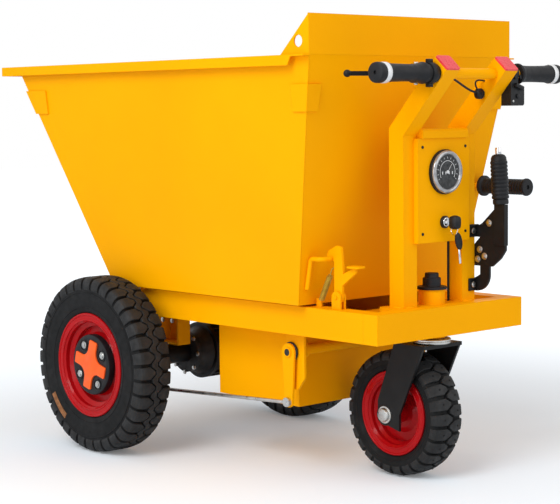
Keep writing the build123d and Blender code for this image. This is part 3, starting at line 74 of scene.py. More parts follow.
bpy.context.scene.view_settings.view_transform = "Standard"
print("camera placed")


# Materials

def startMaterial(name, roughness, metallic=0.0, coat=0.0, coatRoughness=0.1, specular=0.5):
    material = bpy.data.materials.new(name)
    material.use_nodes = True
    shader = material.node_tree.nodes["Principled BSDF"]
    shader.inputs["Roughness"].default_value = roughness
    shader.inputs["Metallic"].default_value = metallic
    shader.inputs["Coat Weight"].default_value = coat
    shader.inputs["Coat Roughness"].default_value = coatRoughness
    shader.inputs["Specular IOR Level"].default_value = specular
    return material


def noiseOn(material, scale, detail=3.0):
    tree = material.node_tree
    coords = tree.nodes.new("ShaderNodeTexCoord")
    noise = tree.nodes.new("ShaderNodeTexNoise")
    noise.inputs["Scale"].default_value = scale
    noise.inputs["Detail"].default_value = detail
    tree.links.new(coords.outputs["Object"], noise.inputs["Vector"])
    return noise


def colourBand(material, noise, *stops):
    tree = material.node_tree
    ramp = tree.nodes.new("ShaderNodeValToRGB")
    elements = ramp.color_ramp.elements
    elements[0].position = stops[0][0]
    elements[0].color = (*stops[0][1], 1.0)
    elements[1].position = stops[-1][0]
    elements[1].color = (*stops[-1][1], 1.0)
    for position, colour in stops[1:-1]:
        element = elements.new(position)
        element.color = (*colour, 1.0)
    tree.links.new(noise.outputs["Fac"], ramp.inputs["Fac"])
    tree.links.new(ramp.outputs["Color"], tree.nodes["Principled BSDF"].inputs["Base Color"])


def roughBand(material, noise, low, high):
    tree = material.node_tree
    reach = tree.nodes.new("ShaderNodeMapRange")
    reach.inputs["From Min"].default_value = 0.3
    reach.inputs["From Max"].default_value = 0.7
    reach.inputs["To Min"].default_value = low
    reach.inputs["To Max"].default_value = high
    tree.links.new(noise.outputs["Fac"], reach.inputs["Value"])
    tree.links.new(reach.outputs["Result"], tree.nodes["Principled BSDF"].inputs["Roughness"])


def bumpFrom(material, noise, strength, distance, softEdge=0.0):
    tree = material.node_tree
    bump = tree.nodes.new("ShaderNodeBump")
    bump.inputs["Strength"].default_value = strength
    bump.inputs["Distance"].default_value = distance
    tree.links.new(noise.outputs["Fac"], bump.inputs["Height"])
    if softEdge:
        bevel = tree.nodes.new("ShaderNodeBevel")
        bevel.samples = 4
        bevel.inputs["Radius"].default_value = softEdge
        tree.links.new(bevel.outputs["Normal"], bump.inputs["Normal"])
    tree.links.new(bump.outputs["Normal"], tree.nodes["Principled BSDF"].inputs["Normal"])


# "colour", "rough" and "bump" each start with a noise: its scale and, where it isn't the usual
# one, its detail. Stops of colour follow, the range of roughness, and the bump's strength,
# distance and, where edges look rounded, their radius.
lookSettings = {
    "yellowPaint": {
        "shader": {"roughness": 0.46, "specular": 0.03},
        "colour": ((2.3, 4.0), (0.30, (0.925, 0.386, 0.0002)), (0.50, (0.965, 0.408, 0.0002)),
                   (0.72, (0.990, 0.428, 0.0003))),
        "rough": ((9.0, 5.0), 0.34, 0.48),
        "bump": ((420.0, 2.0), 0.10, 0.0004, 0.0016),
    },
    "wheelRed": {
        "shader": {"roughness": 0.24, "coat": 0.08, "coatRoughness": 0.08, "specular": 0.10},
        "colour": ((14.0,), (0.3, (0.37, 0.0030, 0.005)), (0.7, (0.45, 0.0042, 0.007))),
        "rough": ((30.0,), 0.16, 0.26),
        "bump": ((500.0,), 0.04, 0.0002, 0.0012),
    },
    "blackEnamel": {
        "shader": {"roughness": 0.42, "coat": 0.05, "coatRoughness": 0.30, "specular": 0.20},
        "colour": ((18.0,), (0.3, (0.0045, 0.0047, 0.0052)), (0.7, (0.0090, 0.0092, 0.0100))),
        "rough": ((40.0, 4.0), 0.34, 0.52),
        "bump": ((600.0,), 0.14, 0.0004, 0.0010),
    },
    "tyreRubber": {
        "shader": {"roughness": 0.60, "specular": 0.16},
        "colour": ((22.0, 5.0), (0.28, (0.0055, 0.0057, 0.0060)), (0.55, (0.0085, 0.0087, 0.0092)),
                   (0.80, (0.0130, 0.0130, 0.0134))),
        "rough": ((60.0, 4.0), 0.52, 0.76),
        "bump": ((900.0, 3.0), 0.18, 0.0005),
    },
    "gripRubber": {
        "shader": {"roughness": 0.46, "specular": 0.24},
        "colour": ((60.0,), (0.3, (0.0062, 0.0064, 0.0076)), (0.7, (0.0120, 0.0124, 0.0145))),
        "rough": ((120.0,), 0.40, 0.60),
        "bump": ((1500.0,), 0.16, 0.0004, 0.0008),
    },
    "blackPlastic": {
        "shader": {"roughness": 0.36, "specular": 0.26},
        "colour": ((45.0,), (0.3, (0.0060, 0.0063, 0.0075)), (0.7, (0.0110, 0.0115, 0.0135))),
        "rough": ((160.0,), 0.32, 0.48),
        "bump": ((1900.0,), 0.14, 0.0003, 0.0010),
    },
    "darkIron": {
        "shader": {"roughness": 0.58, "metallic": 0.35},
        "colour": ((38.0, 6.0), (0.3, (0.0120, 0.0120, 0.0130)), (0.7, (0.0300, 0.0300, 0.0310))),
        "rough": ((90.0,), 0.44, 0.70),
        "bump": ((300.0, 5.0), 0.35, 0.0009, 0.0015),
    },
    "zincSteel": {
        "shader": {"roughness": 0.32, "metallic": 1.0},
        "colour": ((55.0, 5.0), (0.3, (0.46, 0.46, 0.45)), (0.7, (0.66, 0.66, 0.64))),
        "rough": ((140.0,), 0.24, 0.42),
        "bump": ((700.0,), 0.10, 0.0003, 0.0006),
    },
    "chromeTrim": {
        "shader": {"roughness": 0.10, "metallic": 1.0},
        "colour": ((20.0,), (0.3, (0.72, 0.72, 0.74)), (0.7, (0.80, 0.80, 0.81))),
        "rough": ((60.0,), 0.06, 0.16),
        "bump": ((350.0,), 0.04, 0.0002, 0.0008),
    },
    "capRed": {
        "shader": {"roughness": 0.30, "coat": 0.15, "coatRoughness": 0.12, "specular": 0.25},
        "colour": ((30.0,), (0.3, (0.74, 0.042, 0.052)), (0.7, (0.84, 0.054, 0.064))),
        "rough": ((90.0,), 0.22, 0.34),
        "bump": ((260.0,), 0.02, 0.0001),
    },
    "treadRubber": {
        "shader": {"roughness": 0.62, "specular": 0.26},
        "colour": ((48.0, 6.0), (0.28, (0.0105, 0.0107, 0.0112)), (0.55, (0.0185, 0.0188, 0.0196)),
                   (0.80, (0.0300, 0.0303, 0.0312))),
        "rough": ((90.0, 4.0), 0.50, 0.78),
        "bump": ((1100.0, 4.0), 0.30, 0.0006),
    },
    "brassZinc": {
        "shader": {"roughness": 0.40, "metallic": 0.45},
        "colour": ((70.0, 4.0), (0.3, (0.42, 0.30, 0.03)), (0.7, (0.58, 0.44, 0.06))),
        "rough": ((160.0,), 0.26, 0.44),
        "bump": ((800.0,), 0.10, 0.0003),
    },
    "crossOrange": {
        "shader": {"roughness": 0.42, "specular": 0.3},
        "colour": ((26.0,), (0.3, (0.92, 0.105, 0.010)), (0.7, (1.0, 0.130, 0.014))),
        "rough": ((80.0,), 0.34, 0.50),
        "bump": ((1200.0,), 0.12, 0.0003),
    },
    "ringWhite": {
        "shader": {"roughness": 0.24, "coat": 0.4, "coatRoughness": 0.08},
        "colour": ((50.0,), (0.3, (0.66, 0.66, 0.66)), (0.7, (0.78, 0.78, 0.78))),
        "rough": ((120.0,), 0.18, 0.32),
        "bump": ((900.0,), 0.06, 0.0002),
    },
    "patchBrown": {
        "shader": {"roughness": 0.62, "specular": 0.3},
        "colour": ((120.0, 6.0), (0.3, (0.180, 0.070, 0.022)), (0.7, (0.330, 0.135, 0.048))),
        "rough": ((200.0,), 0.50, 0.74),
        "bump": ((1400.0,), 0.20, 0.0004),
    },
    "dialFace": {
        "shader": {"roughness": 0.46, "specular": 0.3},
        "colour": ((150.0, 6.0), (0.3, (0.0160, 0.0180, 0.0190)), (0.7, (0.0650, 0.0680, 0.0700))),
        "rough": ((180.0,), 0.42, 0.60),
        "bump": ((1500.0,), 0.08, 0.0002),
    },
    "bezelGrey": {
        "shader": {"roughness": 0.16, "metallic": 0.55, "coat": 0.6, "coatRoughness": 0.05},
        "colour": ((60.0, 4.0), (0.3, (0.26, 0.26, 0.27)), (0.7, (0.46, 0.46, 0.47))),
        "rough": ((130.0,), 0.10, 0.24),
        "bump": ((420.0,), 0.10, 0.0003),
    },
}
slotLooks = {
    "yellow_paint": "yellowPaint", "red_paint": "wheelRed", "black_paint": "blackEnamel",
    "tyre": "tyreRubber", "rubber": "gripRubber", "black_plastic": "blackPlastic",
    "dark_iron": "darkIron", "zinc": "zincSteel", "chrome": "chromeTrim", "red_plastic": "capRed",
}


def makeLook(name, look):
    material = startMaterial(name, **look["shader"])
    for addBand, part in ((colourBand, "colour"), (roughBand, "rough"), (bumpFrom, "bump")):
        noise, *values = look[part]
        addBand(material, noiseOn(material, *noise), *values)
    return material


def finishNode(name, material):
    node = nodes[name]
    if not node.data.materials:
        node.data.materials.append(material)
    for index in range(len(node.data.materials)):
        node.data.materials[index] = material


looks = {name: makeLook(name, look) for name, look in lookSettings.items()}
for row in frame["record"]["subparts"]:
    finishNode(row["node"], looks[slotLooks[row["material_slot"]]])
print("finishes set on the frame")


# Shapes that the pieces share

def faceTo(place, axis):
    turn = Vector((0.0, 0.0, 1.0)).rotation_difference(Vector(axis))
    return Matrix.Translation(place) @ turn.to_matrix().to_4x4()


def wholeOf(form):
    return form.verts[:] + form.edges[:] + form.faces[:]


def vertsOf(parts):
    return [part for part in parts if isinstance(part, bmesh.types.BMVert)]


def roundLoop(radius, height, wire, count):
    turns = [step * math.tau / count for step in range(count)]
    return [(radius + wire * math.cos(turn), height + wire * math.sin(turn)) for turn in turns]


def bevelLines(form, lines, width, segments=2):
    bmesh.ops.bevel(
        form, geom=list(lines), offset=width, affect="EDGES", segments=segments,
        profile=0.5, material=-1,
    )


def addDrum(form, place, axis, radius, length, edge=0.0, sides=32):
    made = bmesh.ops.create_cone(
        form, cap_ends=True, segments=sides, radius1=radius, radius2=radius, depth=length,
        matrix=faceTo(place, axis) @ Matrix.Translation((0.0, 0.0, length / 2)),
    )
    if edge:
        bevelLines(form, {
            line for vert in made["verts"] for line in vert.link_edges
            if max(len(face.verts) for face in line.link_faces) > 4
        }, edge)


def addBlock(form, matrix, size, edge=0.0):
    made = bmesh.ops.create_cube(form, size=1.0, matrix=matrix @ Matrix.Diagonal((*size, 1.0)))
    if edge:
        bevelLines(form, {line for vert in made["verts"] for line in vert.link_edges}, edge)


def addBlockAt(form, place, size, edge, turn=0.0):
    turned = Matrix.Rotation(math.radians(turn), 4, "X")
    addBlock(form, Matrix.Translation(place) @ turned, size, edge)


def addSpun(form, outline, matrix, steps=48, closed=False):
    older = set(form.verts)
    rim = [form.verts.new((radius, 0.0, height)) for radius, height in outline]
    lines = [form.edges.new(pair) for pair in zip(rim, rim[1:])]
    if closed:
        lines.append(form.edges.new((rim[-1], rim[0])))
    bmesh.ops.spin(
        form, geom=rim + lines, cent=(0.0, 0.0, 0.0), axis=(0.0, 0.0, 1.0),
        angle=math.tau, steps=steps, use_merge=True,
    )
    made = [vert for vert in form.verts if vert not in older]
    bmesh.ops.transform(form, matrix=matrix, verts=made)
    return made


def addCoil(form, place, axis, radius, wire, turns, length, stepsPerTurn=12):
    older = set(form.verts)
    ring = bmesh.ops.create_circle(
        form, cap_ends=False, segments=6, radius=wire,
        matrix=Matrix.Translation((radius, 0.0, 0.0)) @ Matrix.Rotation(math.pi / 2, 4, "X"),
    )["verts"]
    lines = {line for vert in ring for line in vert.link_edges}
    steps = int(turns * stepsPerTurn)
    bmesh.ops.spin(
        form, geom=ring + list(lines), cent=(0.0, 0.0, 0.0), axis=(0.0, 0.0, 1.0),
        dvec=(0.0, 0.0, length / steps), angle=math.tau * turns, steps=steps,
    )
    openEnds = [line for line in form.edges if line.is_boundary]
    bmesh.ops.holes_fill(form, edges=openEnds, sides=0)
    made = [vert for vert in form.verts if vert not in older]
    bmesh.ops.transform(form, matrix=faceTo(place, axis), verts=made)


def repeatAround(form, count, middle=(0.0, 0.0, 0.0), axis=(0.0, 0.0, 1.0), arc=math.tau):
    steps = count - 1
    bmesh.ops.spin(
        form, geom=wholeOf(form), cent=middle, axis=axis,
        angle=arc * steps / count, steps=steps, use_duplicate=True,
    )


def repeatOtherRow(form, count):
    otherRow = bmesh.ops.duplicate(form, geom=wholeOf(form))["geom"]
    halfPitch = Matrix.Rotation(math.pi / count, 4, "Z")
    bmesh.ops.transform(
        form, matrix=halfPitch @ Matrix.Diagonal((1.0, 1.0, -1.0, 1.0)), verts=vertsOf(otherRow),
    )


def finishPiece(name, form, body, slotName, look=None, stands=(), matrix=None, sharpAngle=38.0):
    bmesh.ops.remove_doubles(form, verts=form.verts, dist=1e-6)
    bmesh.ops.recalc_face_normals(form, faces=form.faces)
    if matrix is not None:
        bmesh.ops.transform(form, matrix=matrix, verts=form.verts)
    openLines = sum(1 for line in form.edges if not line.is_manifold)
    mesh = bpy.data.meshes.new(name)
    form.to_mesh(mesh)
    form.free()
    mesh.shade_smooth()
    mesh.set_sharp_from_angle(angle=math.radians(sharpAngle))
    mesh.materials.append(looks[look or slotLooks[slotName]])
    piece = bpy.data.objects.new(name, mesh)
    bpy.context.scene.collection.objects.link(piece)
    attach(piece, body)
    if stands:
        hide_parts(*stands)
    if openLines:
        print("open lines:", name, openLines)


def makeSpun(name, outline, place, steps, body, slotName, look=None, closed=False, **rest):
    form = bmesh.new()
    addSpun(form, outline, place, steps, closed)
    finishPiece(name, form, body, slotName, look, **rest)


def makeDrums(name, spots, drum, body, slotName):
    form = bmesh.new()
    for place, axis in spots:
        addDrum(form, place, axis, **drum)
    finishPiece(name, form, body, slotName)


def makeLead(name, route, radius, slotName, look=None):
    curve = bpy.data.curves.new(name, "CURVE")
    curve.dimensions = "3D"
    curve.bevel_depth = radius
    curve.bevel_resolution = 3
    curve.use_fill_caps = True
    spline = curve.splines.new("NURBS")
    spline.points.add(len(route) - 1)
    for point, spot in zip(spline.points, route):
        point.co = (*spot, 1.0)
    spline.order_u = 3
    spline.use_endpoint_u = True
    curve.materials.append(looks[look or slotLooks[slotName]])
    lead = bpy.data.objects.new(name, curve)
    bpy.context.scene.collection.objects.link(lead)
    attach(lead, "chassis")


# Tyres: carcass, shoulder lugs in two staggered rows, and the front pair's wavy middle rib

frontTyre = {
    "radius": 0.203,
    "lugCount": 36,
    "groove": 0.0080,
    "tip": (0.0040, 0.0064),
    "valley": (0.0125, 0.0172),
    "lugOutline": (
        (0.2030, 0.0060), (0.2026, 0.0240), (0.2012, 0.0340), (0.1985, 0.0400),
        (0.1935, 0.0440), (0.1870, 0.0463), (0.1790, 0.0469),
    ),
    "sinkRadius": 0.940,
    "sinkWidth": 0.90,
    "lugEdge": 0.0011,
    "carcass": (
        (0.1030, 0.0367), (0.1203, 0.0367), (0.1215, 0.0400), (0.1260, 0.0428),
        (0.1325, 0.0444), (0.1332, 0.0456), (0.1348, 0.0457), (0.1356, 0.0448),
        (0.1500, 0.0460), (0.1660, 0.0458), (0.1668, 0.0468), (0.1682, 0.0468),
        (0.1692, 0.0452), (0.1790, 0.0436), (0.1870, 0.0412), (0.1920, 0.0380),
        (0.1932, 0.0300), (0.1932, 0.0100),
    ),
    "rib": ((0.1920, 0.0078), (0.2016, 0.0078), (0.2026, 0.0068)),
    "ribSwing": 0.0055,
}
rearTyre = {
    "radius": 0.136,
    "lugCount": 26,
    "groove": 0.0085,
    "tip": (0.0035, -0.0030),
    "valley": (0.0110, 0.0090),
    "lugOutline": (
        (0.1360, -0.0030), (0.1358, 0.0120), (0.1348, 0.0240), (0.1322, 0.0330),
        (0.1285, 0.0390), (0.1230, 0.0422), (0.1165, 0.0429),
    ),
    "sinkRadius": 0.925,
    "sinkWidth": 0.90,
    "lugEdge": 0.0010,
    "carcass": (
        (0.0735, 0.0317), (0.0913, 0.0317), (0.0925, 0.0345), (0.0970, 0.0385),
        (0.1015, 0.0404), (0.1022, 0.0415), (0.1036, 0.0416), (0.1044, 0.0410),
        (0.1110, 0.0418), (0.1180, 0.0412), (0.1225, 0.0392), (0.1262, 0.0345),
        (0.1275, 0.0270), (0.1275, 0.0080),
    ),
    "rib": (),
}
treadSettings = {"crestAngle": 0.6, "sharpAngle": 13.0}
leftAxle = (0.258, 0.306, 0.203)
rightAxle = (0.258, -0.306, 0.203)
rearAxle = (-0.407, 0.0, 0.136)


def wheelPlace(place, side):
    return Matrix.Translation(place) @ Matrix(((1, 0, 0), (0, 0, side), (0, -side, 0))).to_4x4()


def addLugs(form, tyre):
    arc = math.tau / tyre["lugCount"] - tyre["groove"] / tyre["radius"]
    rim = [form.verts.new((radius, 0.0, across)) for radius, across in tyre["lugOutline"]]
    lines = [form.edges.new(pair) for pair in zip(rim, rim[1:])]
    bmesh.ops.spin(
        form, geom=rim + lines, cent=(0.0, 0.0, 0.0), axis=(0.0, 0.0, 1.0), angle=arc, steps=2,
    )
    centred = Matrix.Rotation(-arc / 2, 3, "Z")
    bmesh.ops.rotate(form, verts=form.verts, cent=(0.0, 0.0, 0.0), matrix=centred)
    tipHalf, tipFace = tyre["tip"]
    valleyHalf, valleyFace = tyre["valley"]
    for way in (1, -1):
        bmesh.ops.bisect_plane(
            form, geom=wholeOf(form), plane_co=(0.0, way * tipHalf, tipFace),
            plane_no=(0.0, way * (valleyFace - tipFace), tipHalf - valleyHalf),
            clear_outer=True,
        )
    foot = vertsOf(bmesh.ops.extrude_face_region(form, geom=form.faces[:])["geom"])
    sunk = (tyre["sinkRadius"], tyre["sinkRadius"], tyre["sinkWidth"])
    bmesh.ops.scale(form, vec=sunk, verts=foot)
    footVerts = set(foot)
    crests = [
        line for line in form.edges if not footVerts.intersection(line.verts)
        and line.calc_face_angle(0.0) > treadSettings["crestAngle"]
    ]
    bevelLines(form, crests, tyre["lugEdge"], segments=1)
    repeatAround(form, tyre["lugCount"])
    repeatOtherRow(form, tyre["lugCount"])


def addRib(form, tyre):
    halfLoop = list(tyre["rib"])
    loop = halfLoop + [(radius, -across) for radius, across in reversed(halfLoop)]
    steps = tyre["lugCount"] * 4
    halfStep = math.pi / steps
    made = addSpun(form, loop, Matrix.Rotation(halfStep, 4, "Z"), steps=steps, closed=True)
    for vert in made:
        station = round((math.atan2(vert.co.y, vert.co.x) - halfStep) / (2 * halfStep)) % 4
        vert.co.z += tyre["ribSwing"] * (1 if station in (1, 2) else -1)


def makeTyre(name, body, place, side, tyre, node):
    wheel = wheelPlace(place, side)
    upper = list(tyre["carcass"])
    lower = [(radius, -across) for radius, across in reversed(upper)]
    makeSpun(name + "Carcass", upper + lower, Matrix.Identity(4), 96, body, "tyre",
             closed=True, stands=(node,), matrix=wheel)
    form = bmesh.new()
    addLugs(form, tyre)
    if tyre["rib"]:
        addRib(form, tyre)
    finishPiece(name + "Tread", form, body, "tyre", "treadRubber", matrix=wheel,
                sharpAngle=treadSettings["sharpAngle"])


makeTyre("frontLeftTyre", "front_left_wheel", leftAxle, 1, frontTyre, "front_left_tyre")
makeTyre("frontRightTyre", "front_right_wheel", rightAxle, -1, frontTyre, "front_right_tyre")
makeTyre("rearTyre", "rear_wheel", rearAxle, 1, rearTyre, "rear_tyre")

# Brown patch on the left front tyre
patchSettings = {
    "inner": 0.151, "outer": 0.165, "face": 0.0469, "depth": 0.0022,
    "middle": 43.0, "arc": 25.0, "steps": 12,
}
form = bmesh.new()
inner, outer, patchFace = patchSettings["inner"], patchSettings["outer"], patchSettings["face"]
patchFoot = patchFace - patchSettings["depth"]
corners = [form.verts.new((radius, 0.0, across)) for radius, across in (
    (inner, patchFoot), (outer, patchFoot), (outer, patchFace), (inner, patchFace),
)]
patchEnd = form.faces.new(corners)
bmesh.ops.spin(
    form, geom=corners + patchEnd.edges[:] + [patchEnd], cent=(0.0, 0.0, 0.0),
    axis=(0.0, 0.0, 1.0), angle=math.radians(patchSettings["arc"]), steps=patchSettings["steps"],
)
patchTurn = math.radians(patchSettings["middle"] - patchSettings["arc"] / 2)
finishPiece("frontTyrePatch", form, "front_left_wheel", "tyre", "patchBrown",
            matrix=wheelPlace(leftAxle, 1) @ Matrix.Rotation(patchTurn, 4, "Z"))

# Dark dots on the rear tyre's blocks: painted shade that stands in for small pits
pitShadeSettings = {
    "place": (0.1353, 0.0, 0.0200),
    "pitShadeDot": {"radius": 0.0020, "length": 0.0008, "sides": 10},
}
form = bmesh.new()
addDrum(form, pitShadeSettings["place"], (1, 0, 0), **pitShadeSettings["pitShadeDot"])
repeatAround(form, rearTyre["lugCount"])
repeatOtherRow(form, rearTyre["lugCount"])
# painted shade: darker rubber dots where the shade inside the pits would be
finishPiece("rearTyrePitShadeDots", form, "rear_wheel", "tyre", matrix=wheelPlace(rearAxle, 1))

# Rolled edges on the three rims: radius, place across and thickness of each roll
rimSettings = {
    "front": ((0.1172, 0.0402, 0.0032), (0.1042, 0.0402, 0.0024)),
    "rear": ((0.0882, 0.0352, 0.0030), (0.0754, 0.0352, 0.0021)),
    "rollSides": 10,
}


def makeRimEdges(name, body, place, side, rolls):
    form = bmesh.new()
    for face in (1, -1):
        for radius, across, thick in rolls:
            loop = roundLoop(radius, face * across, thick, rimSettings["rollSides"])
            addSpun(form, loop, Matrix.Identity(4), steps=80, closed=True)
    finishPiece(name, form, body, "red_paint", matrix=wheelPlace(place, side))


makeRimEdges("frontLeftRimEdges", "front_left_wheel", leftAxle, 1, rimSettings["front"])
makeRimEdges("frontRightRimEdges", "front_right_wheel", rightAxle, -1, rimSettings["front"])
makeRimEdges("rearRimEdges", "rear_wheel", rearAxle, 1, rimSettings["rear"])
print("tyres and rim edges made")

# Hub covers: black dished disc, orange cross, and a collar and bolt in each corner

hubSettings = {
    "disc": (
        (0.0, 0.0360), (0.0560, 0.0360), (0.0600, 0.0368), (0.0655, 0.0366),
        (0.0688, 0.0350), (0.0700, 0.0320), (0.0700, 0.0202), (0.0, 0.0202),
    ),
    "crossTurn": -15.0,
    "armHalf": 0.0135,
    "armReach": 0.0570,
    "armLow": 0.0350,
    "armHigh": 0.0398,
    "cornerRound": 0.0225,
    "cornerSegments": 9,
    "endRound": 0.0030,
    "endSegments": 3,
    "crestEdge": 0.0007,
    "boltRing": 0.0500,
    "boltTurn": 45.0,
    "collar": (
        (0.0112, 0.0356), (0.0112, 0.0378), (0.0124, 0.0384), (0.0136, 0.0378), (0.0140, 0.0356),
    ),
    "washerFoot": 0.0357,
    "washer": {"radius": 0.008184, "length": 0.0012, "edge": 0.0003, "sides": 24},
    "boltFoot": 0.0367,
    "bolt": {"radius": 0.0062, "length": 0.0026, "edge": 0.0006, "sides": 6},
}


def roundCorners(form, corners, size, segments):
    bmesh.ops.bevel(
        form, geom=corners, offset=size, affect="VERTICES", segments=segments,
        profile=0.5, material=-1,
    )


def addCross(form, hub):
    half, reach, low, high = hub["armHalf"], hub["armReach"], hub["armLow"], hub["armHigh"]
    corners = []
    for quarter in range(4):
        turn = Matrix.Rotation(quarter * math.pi / 2, 3, "Z")
        spots = ((reach, -half, low), (reach, half, low), (half, half, low))
        corners += [turn @ Vector(spot) for spot in spots]
    verts = [form.verts.new(corner) for corner in corners]
    form.faces.new(verts)
    inner = verts[2::3]
    outer = [vert for vert in verts if vert not in inner]
    roundCorners(form, inner, hub["cornerRound"], hub["cornerSegments"])
    roundCorners(form, outer, hub["endRound"], hub["endSegments"])
    top = vertsOf(bmesh.ops.extrude_face_region(form, geom=form.faces[:])["geom"])
    bmesh.ops.translate(form, vec=(0.0, 0.0, high - low), verts=top)
    crest = [face for face in form.faces if face.calc_center_median().z > high - 1e-5]
    bevelLines(form, {line for face in crest for line in face.edges}, hub["crestEdge"])


def repeatAtBolts(form, hub):
    repeatAround(form, 4)
    turn = Matrix.Rotation(math.radians(hub["boltTurn"]), 3, "Z")
    bmesh.ops.rotate(form, verts=form.verts, matrix=turn)


def makeHubCover(sideName, body, place, side, hub):
    wheel = wheelPlace(place, side) @ Matrix.Rotation(math.radians(hub["crossTurn"]), 4, "Z")
    cover = "front_" + sideName + "_hub_cover"
    makeSpun(sideName + "HubDisc", hub["disc"], Matrix.Identity(4), 72, body, "black_plastic",
             stands=(cover,), matrix=wheel)
    form = bmesh.new()
    addCross(form, hub)
    finishPiece(sideName + "HubCross", form, body, "red_plastic", "crossOrange", matrix=wheel)
    form = bmesh.new()
    collarPlace = Matrix.Translation((hub["boltRing"], 0.0, 0.0))
    addSpun(form, hub["collar"], collarPlace, steps=24, closed=True)
    repeatAtBolts(form, hub)
    finishPiece(sideName + "HubCollars", form, body, "black_plastic", matrix=wheel)
    form = bmesh.new()
    addDrum(form, (hub["boltRing"], 0.0, hub["washerFoot"]), (0, 0, 1), **hub["washer"])
    addDrum(form, (hub["boltRing"], 0.0, hub["boltFoot"]), (0, 0, 1), **hub["bolt"])
    repeatAtBolts(form, hub)
    finishPiece(sideName + "HubBolts", form, body, "zinc", matrix=wheel)


makeHubCover("left", "front_left_wheel", leftAxle, 1, hubSettings)
makeHubCover("right", "front_right_wheel", rightAxle, -1, hubSettings)
print("hub covers made")

# Fork: axle caps, their bosses, and the bearing ring under the swivel head

rearSettings = {
    "plateFace": 0.0600,
    "cap": ((0.0, 0.0002), (0.0185, 0.0002), (0.0185, 0.0022), (0.0150, 0.0024), (0.0147, 0.0062),
            (0.0130, 0.0090), (0.0080, 0.0104), (0.0, 0.0108)),
    "bossFoot": 0.0540,
    "boss": {"radius": 0.0235, "length": 0.0063, "edge": 0.0005, "sides": 40},
    "pivot": (-0.487, 0.0, 0.2920),
    "ring": ((0.0290, 0.0005), (0.0390, 0.0005), (0.0402, 0.0020), (0.0402, 0.0044),
             (0.0388, 0.0054), (0.0402, 0.0064), (0.0402, 0.0090), (0.0385, 0.0106),
             (0.0290, 0.0106)),
}
form = bmesh.new()
for side in (1, -1):
    place = (rearAxle[0], side * rearSettings["plateFace"], rearAxle[2])
    addSpun(form, rearSettings["cap"], faceTo(place, (0, side, 0)), steps=40)
finishPiece("rearAxleCaps", form, "caster", "zinc")
bossSpots = [
    ((rearAxle[0], side * rearSettings["bossFoot"], rearAxle[2]), (0, side, 0)) for side in (1, -1)
]
makeDrums("forkAxleBosses", bossSpots, rearSettings["boss"], "caster", "black_paint")
makeSpun("swivelBearingRing", rearSettings["ring"], Matrix.Translation(rearSettings["pivot"]),
         56, "caster", "zinc", closed=True)
print("rear wheel fittings made")

# Swivel head boot, stepped in rings
bootSettings = {
    "place": (-0.487, 0.0, 0.0),
    "outline": (
        (0.0, 0.4061), (0.0318, 0.4061), (0.0320, 0.4100), (0.0304, 0.4118), (0.0210, 0.4124),
        (0.0196, 0.4142), (0.0192, 0.4180), (0.0192, 0.4284), (0.0180, 0.4300), (0.0156, 0.4304),
        (0.0148, 0.4318), (0.0146, 0.4380), (0.0132, 0.4400), (0.0, 0.4400),
    ),
    "sharpAngle": 30.0,
}
makeSpun("swivelBoot", bootSettings["outline"], Matrix.Translation(bootSettings["place"]),
         56, "chassis", "rubber", stands=("swivel_head_cap",),
         sharpAngle=bootSettings["sharpAngle"])

# Handlebar grips with flared ends, a glossy ring and an end cap with a small hole. Outlines
# are radius and distance from the grip's start, the ring's two sides and the grip's end.

gripSettings = {
    "axis": (-0.5951, 0.0, 0.8527),
    "leftRing": (0.2495, 0.2620),
    "rightRing": (0.2500, 0.2620),
    "start": 0.143,
    "end": 0.279,
    "fromStart": ((0.0, 0.0), (0.0200, 0.0), (0.0216, 0.0014), (0.0218, 0.0046), (0.0202, 0.0078),
                  (0.0180, 0.0140), (0.0170, 0.0300), (0.0170, 0.0540)),
    "fromLow": ((0.0178, -0.0140), (0.0192, -0.0030), (0.0196, -0.0006), (0.0174, 0.0004)),
    "fromHigh": ((0.0174, -0.0004), (0.0196, 0.0006), (0.0204, 0.0040)),
    "fromEnd": ((0.0205, -0.0050), (0.0196, -0.0012), (0.0180, 0.0), (0.0040, 0.0),
                (0.0036, -0.0040), (0.0, -0.0040)),
    "ringLow": ((0.0168, 0.0), (0.0196, 0.0), (0.0206, 0.0014)),
    "ringHigh": ((0.0206, -0.0014), (0.0196, 0.0), (0.0168, 0.0)),
}


def joinParts(settings, bases):
    return [
        (radius, base + along) for part, base in bases.items() for radius, along in settings[part]
    ]


def makeGrip(name, node, side, band, grip):
    low, high = band
    place = faceTo(grip["axis"], (0, side, 0))
    rubber = joinParts(grip, {
        "fromStart": grip["start"], "fromLow": low, "fromHigh": high, "fromEnd": grip["end"],
    })
    ring = joinParts(grip, {"ringLow": low, "ringHigh": high})
    makeSpun(name, rubber, place, 48, "chassis", "rubber", stands=(node,))
    makeSpun(name + "Ring", ring, place, 48, "chassis", "chrome", "ringWhite", closed=True)


makeGrip("gripLeftRubber", "grip_left", 1, gripSettings["leftRing"], gripSettings)
makeGrip("gripRightRubber", "grip_right", -1, gripSettings["rightRing"], gripSettings)
print("grips made")

# Brake lever perch: screws and clamp. Switch housing: buttons, thumb lever and screws.

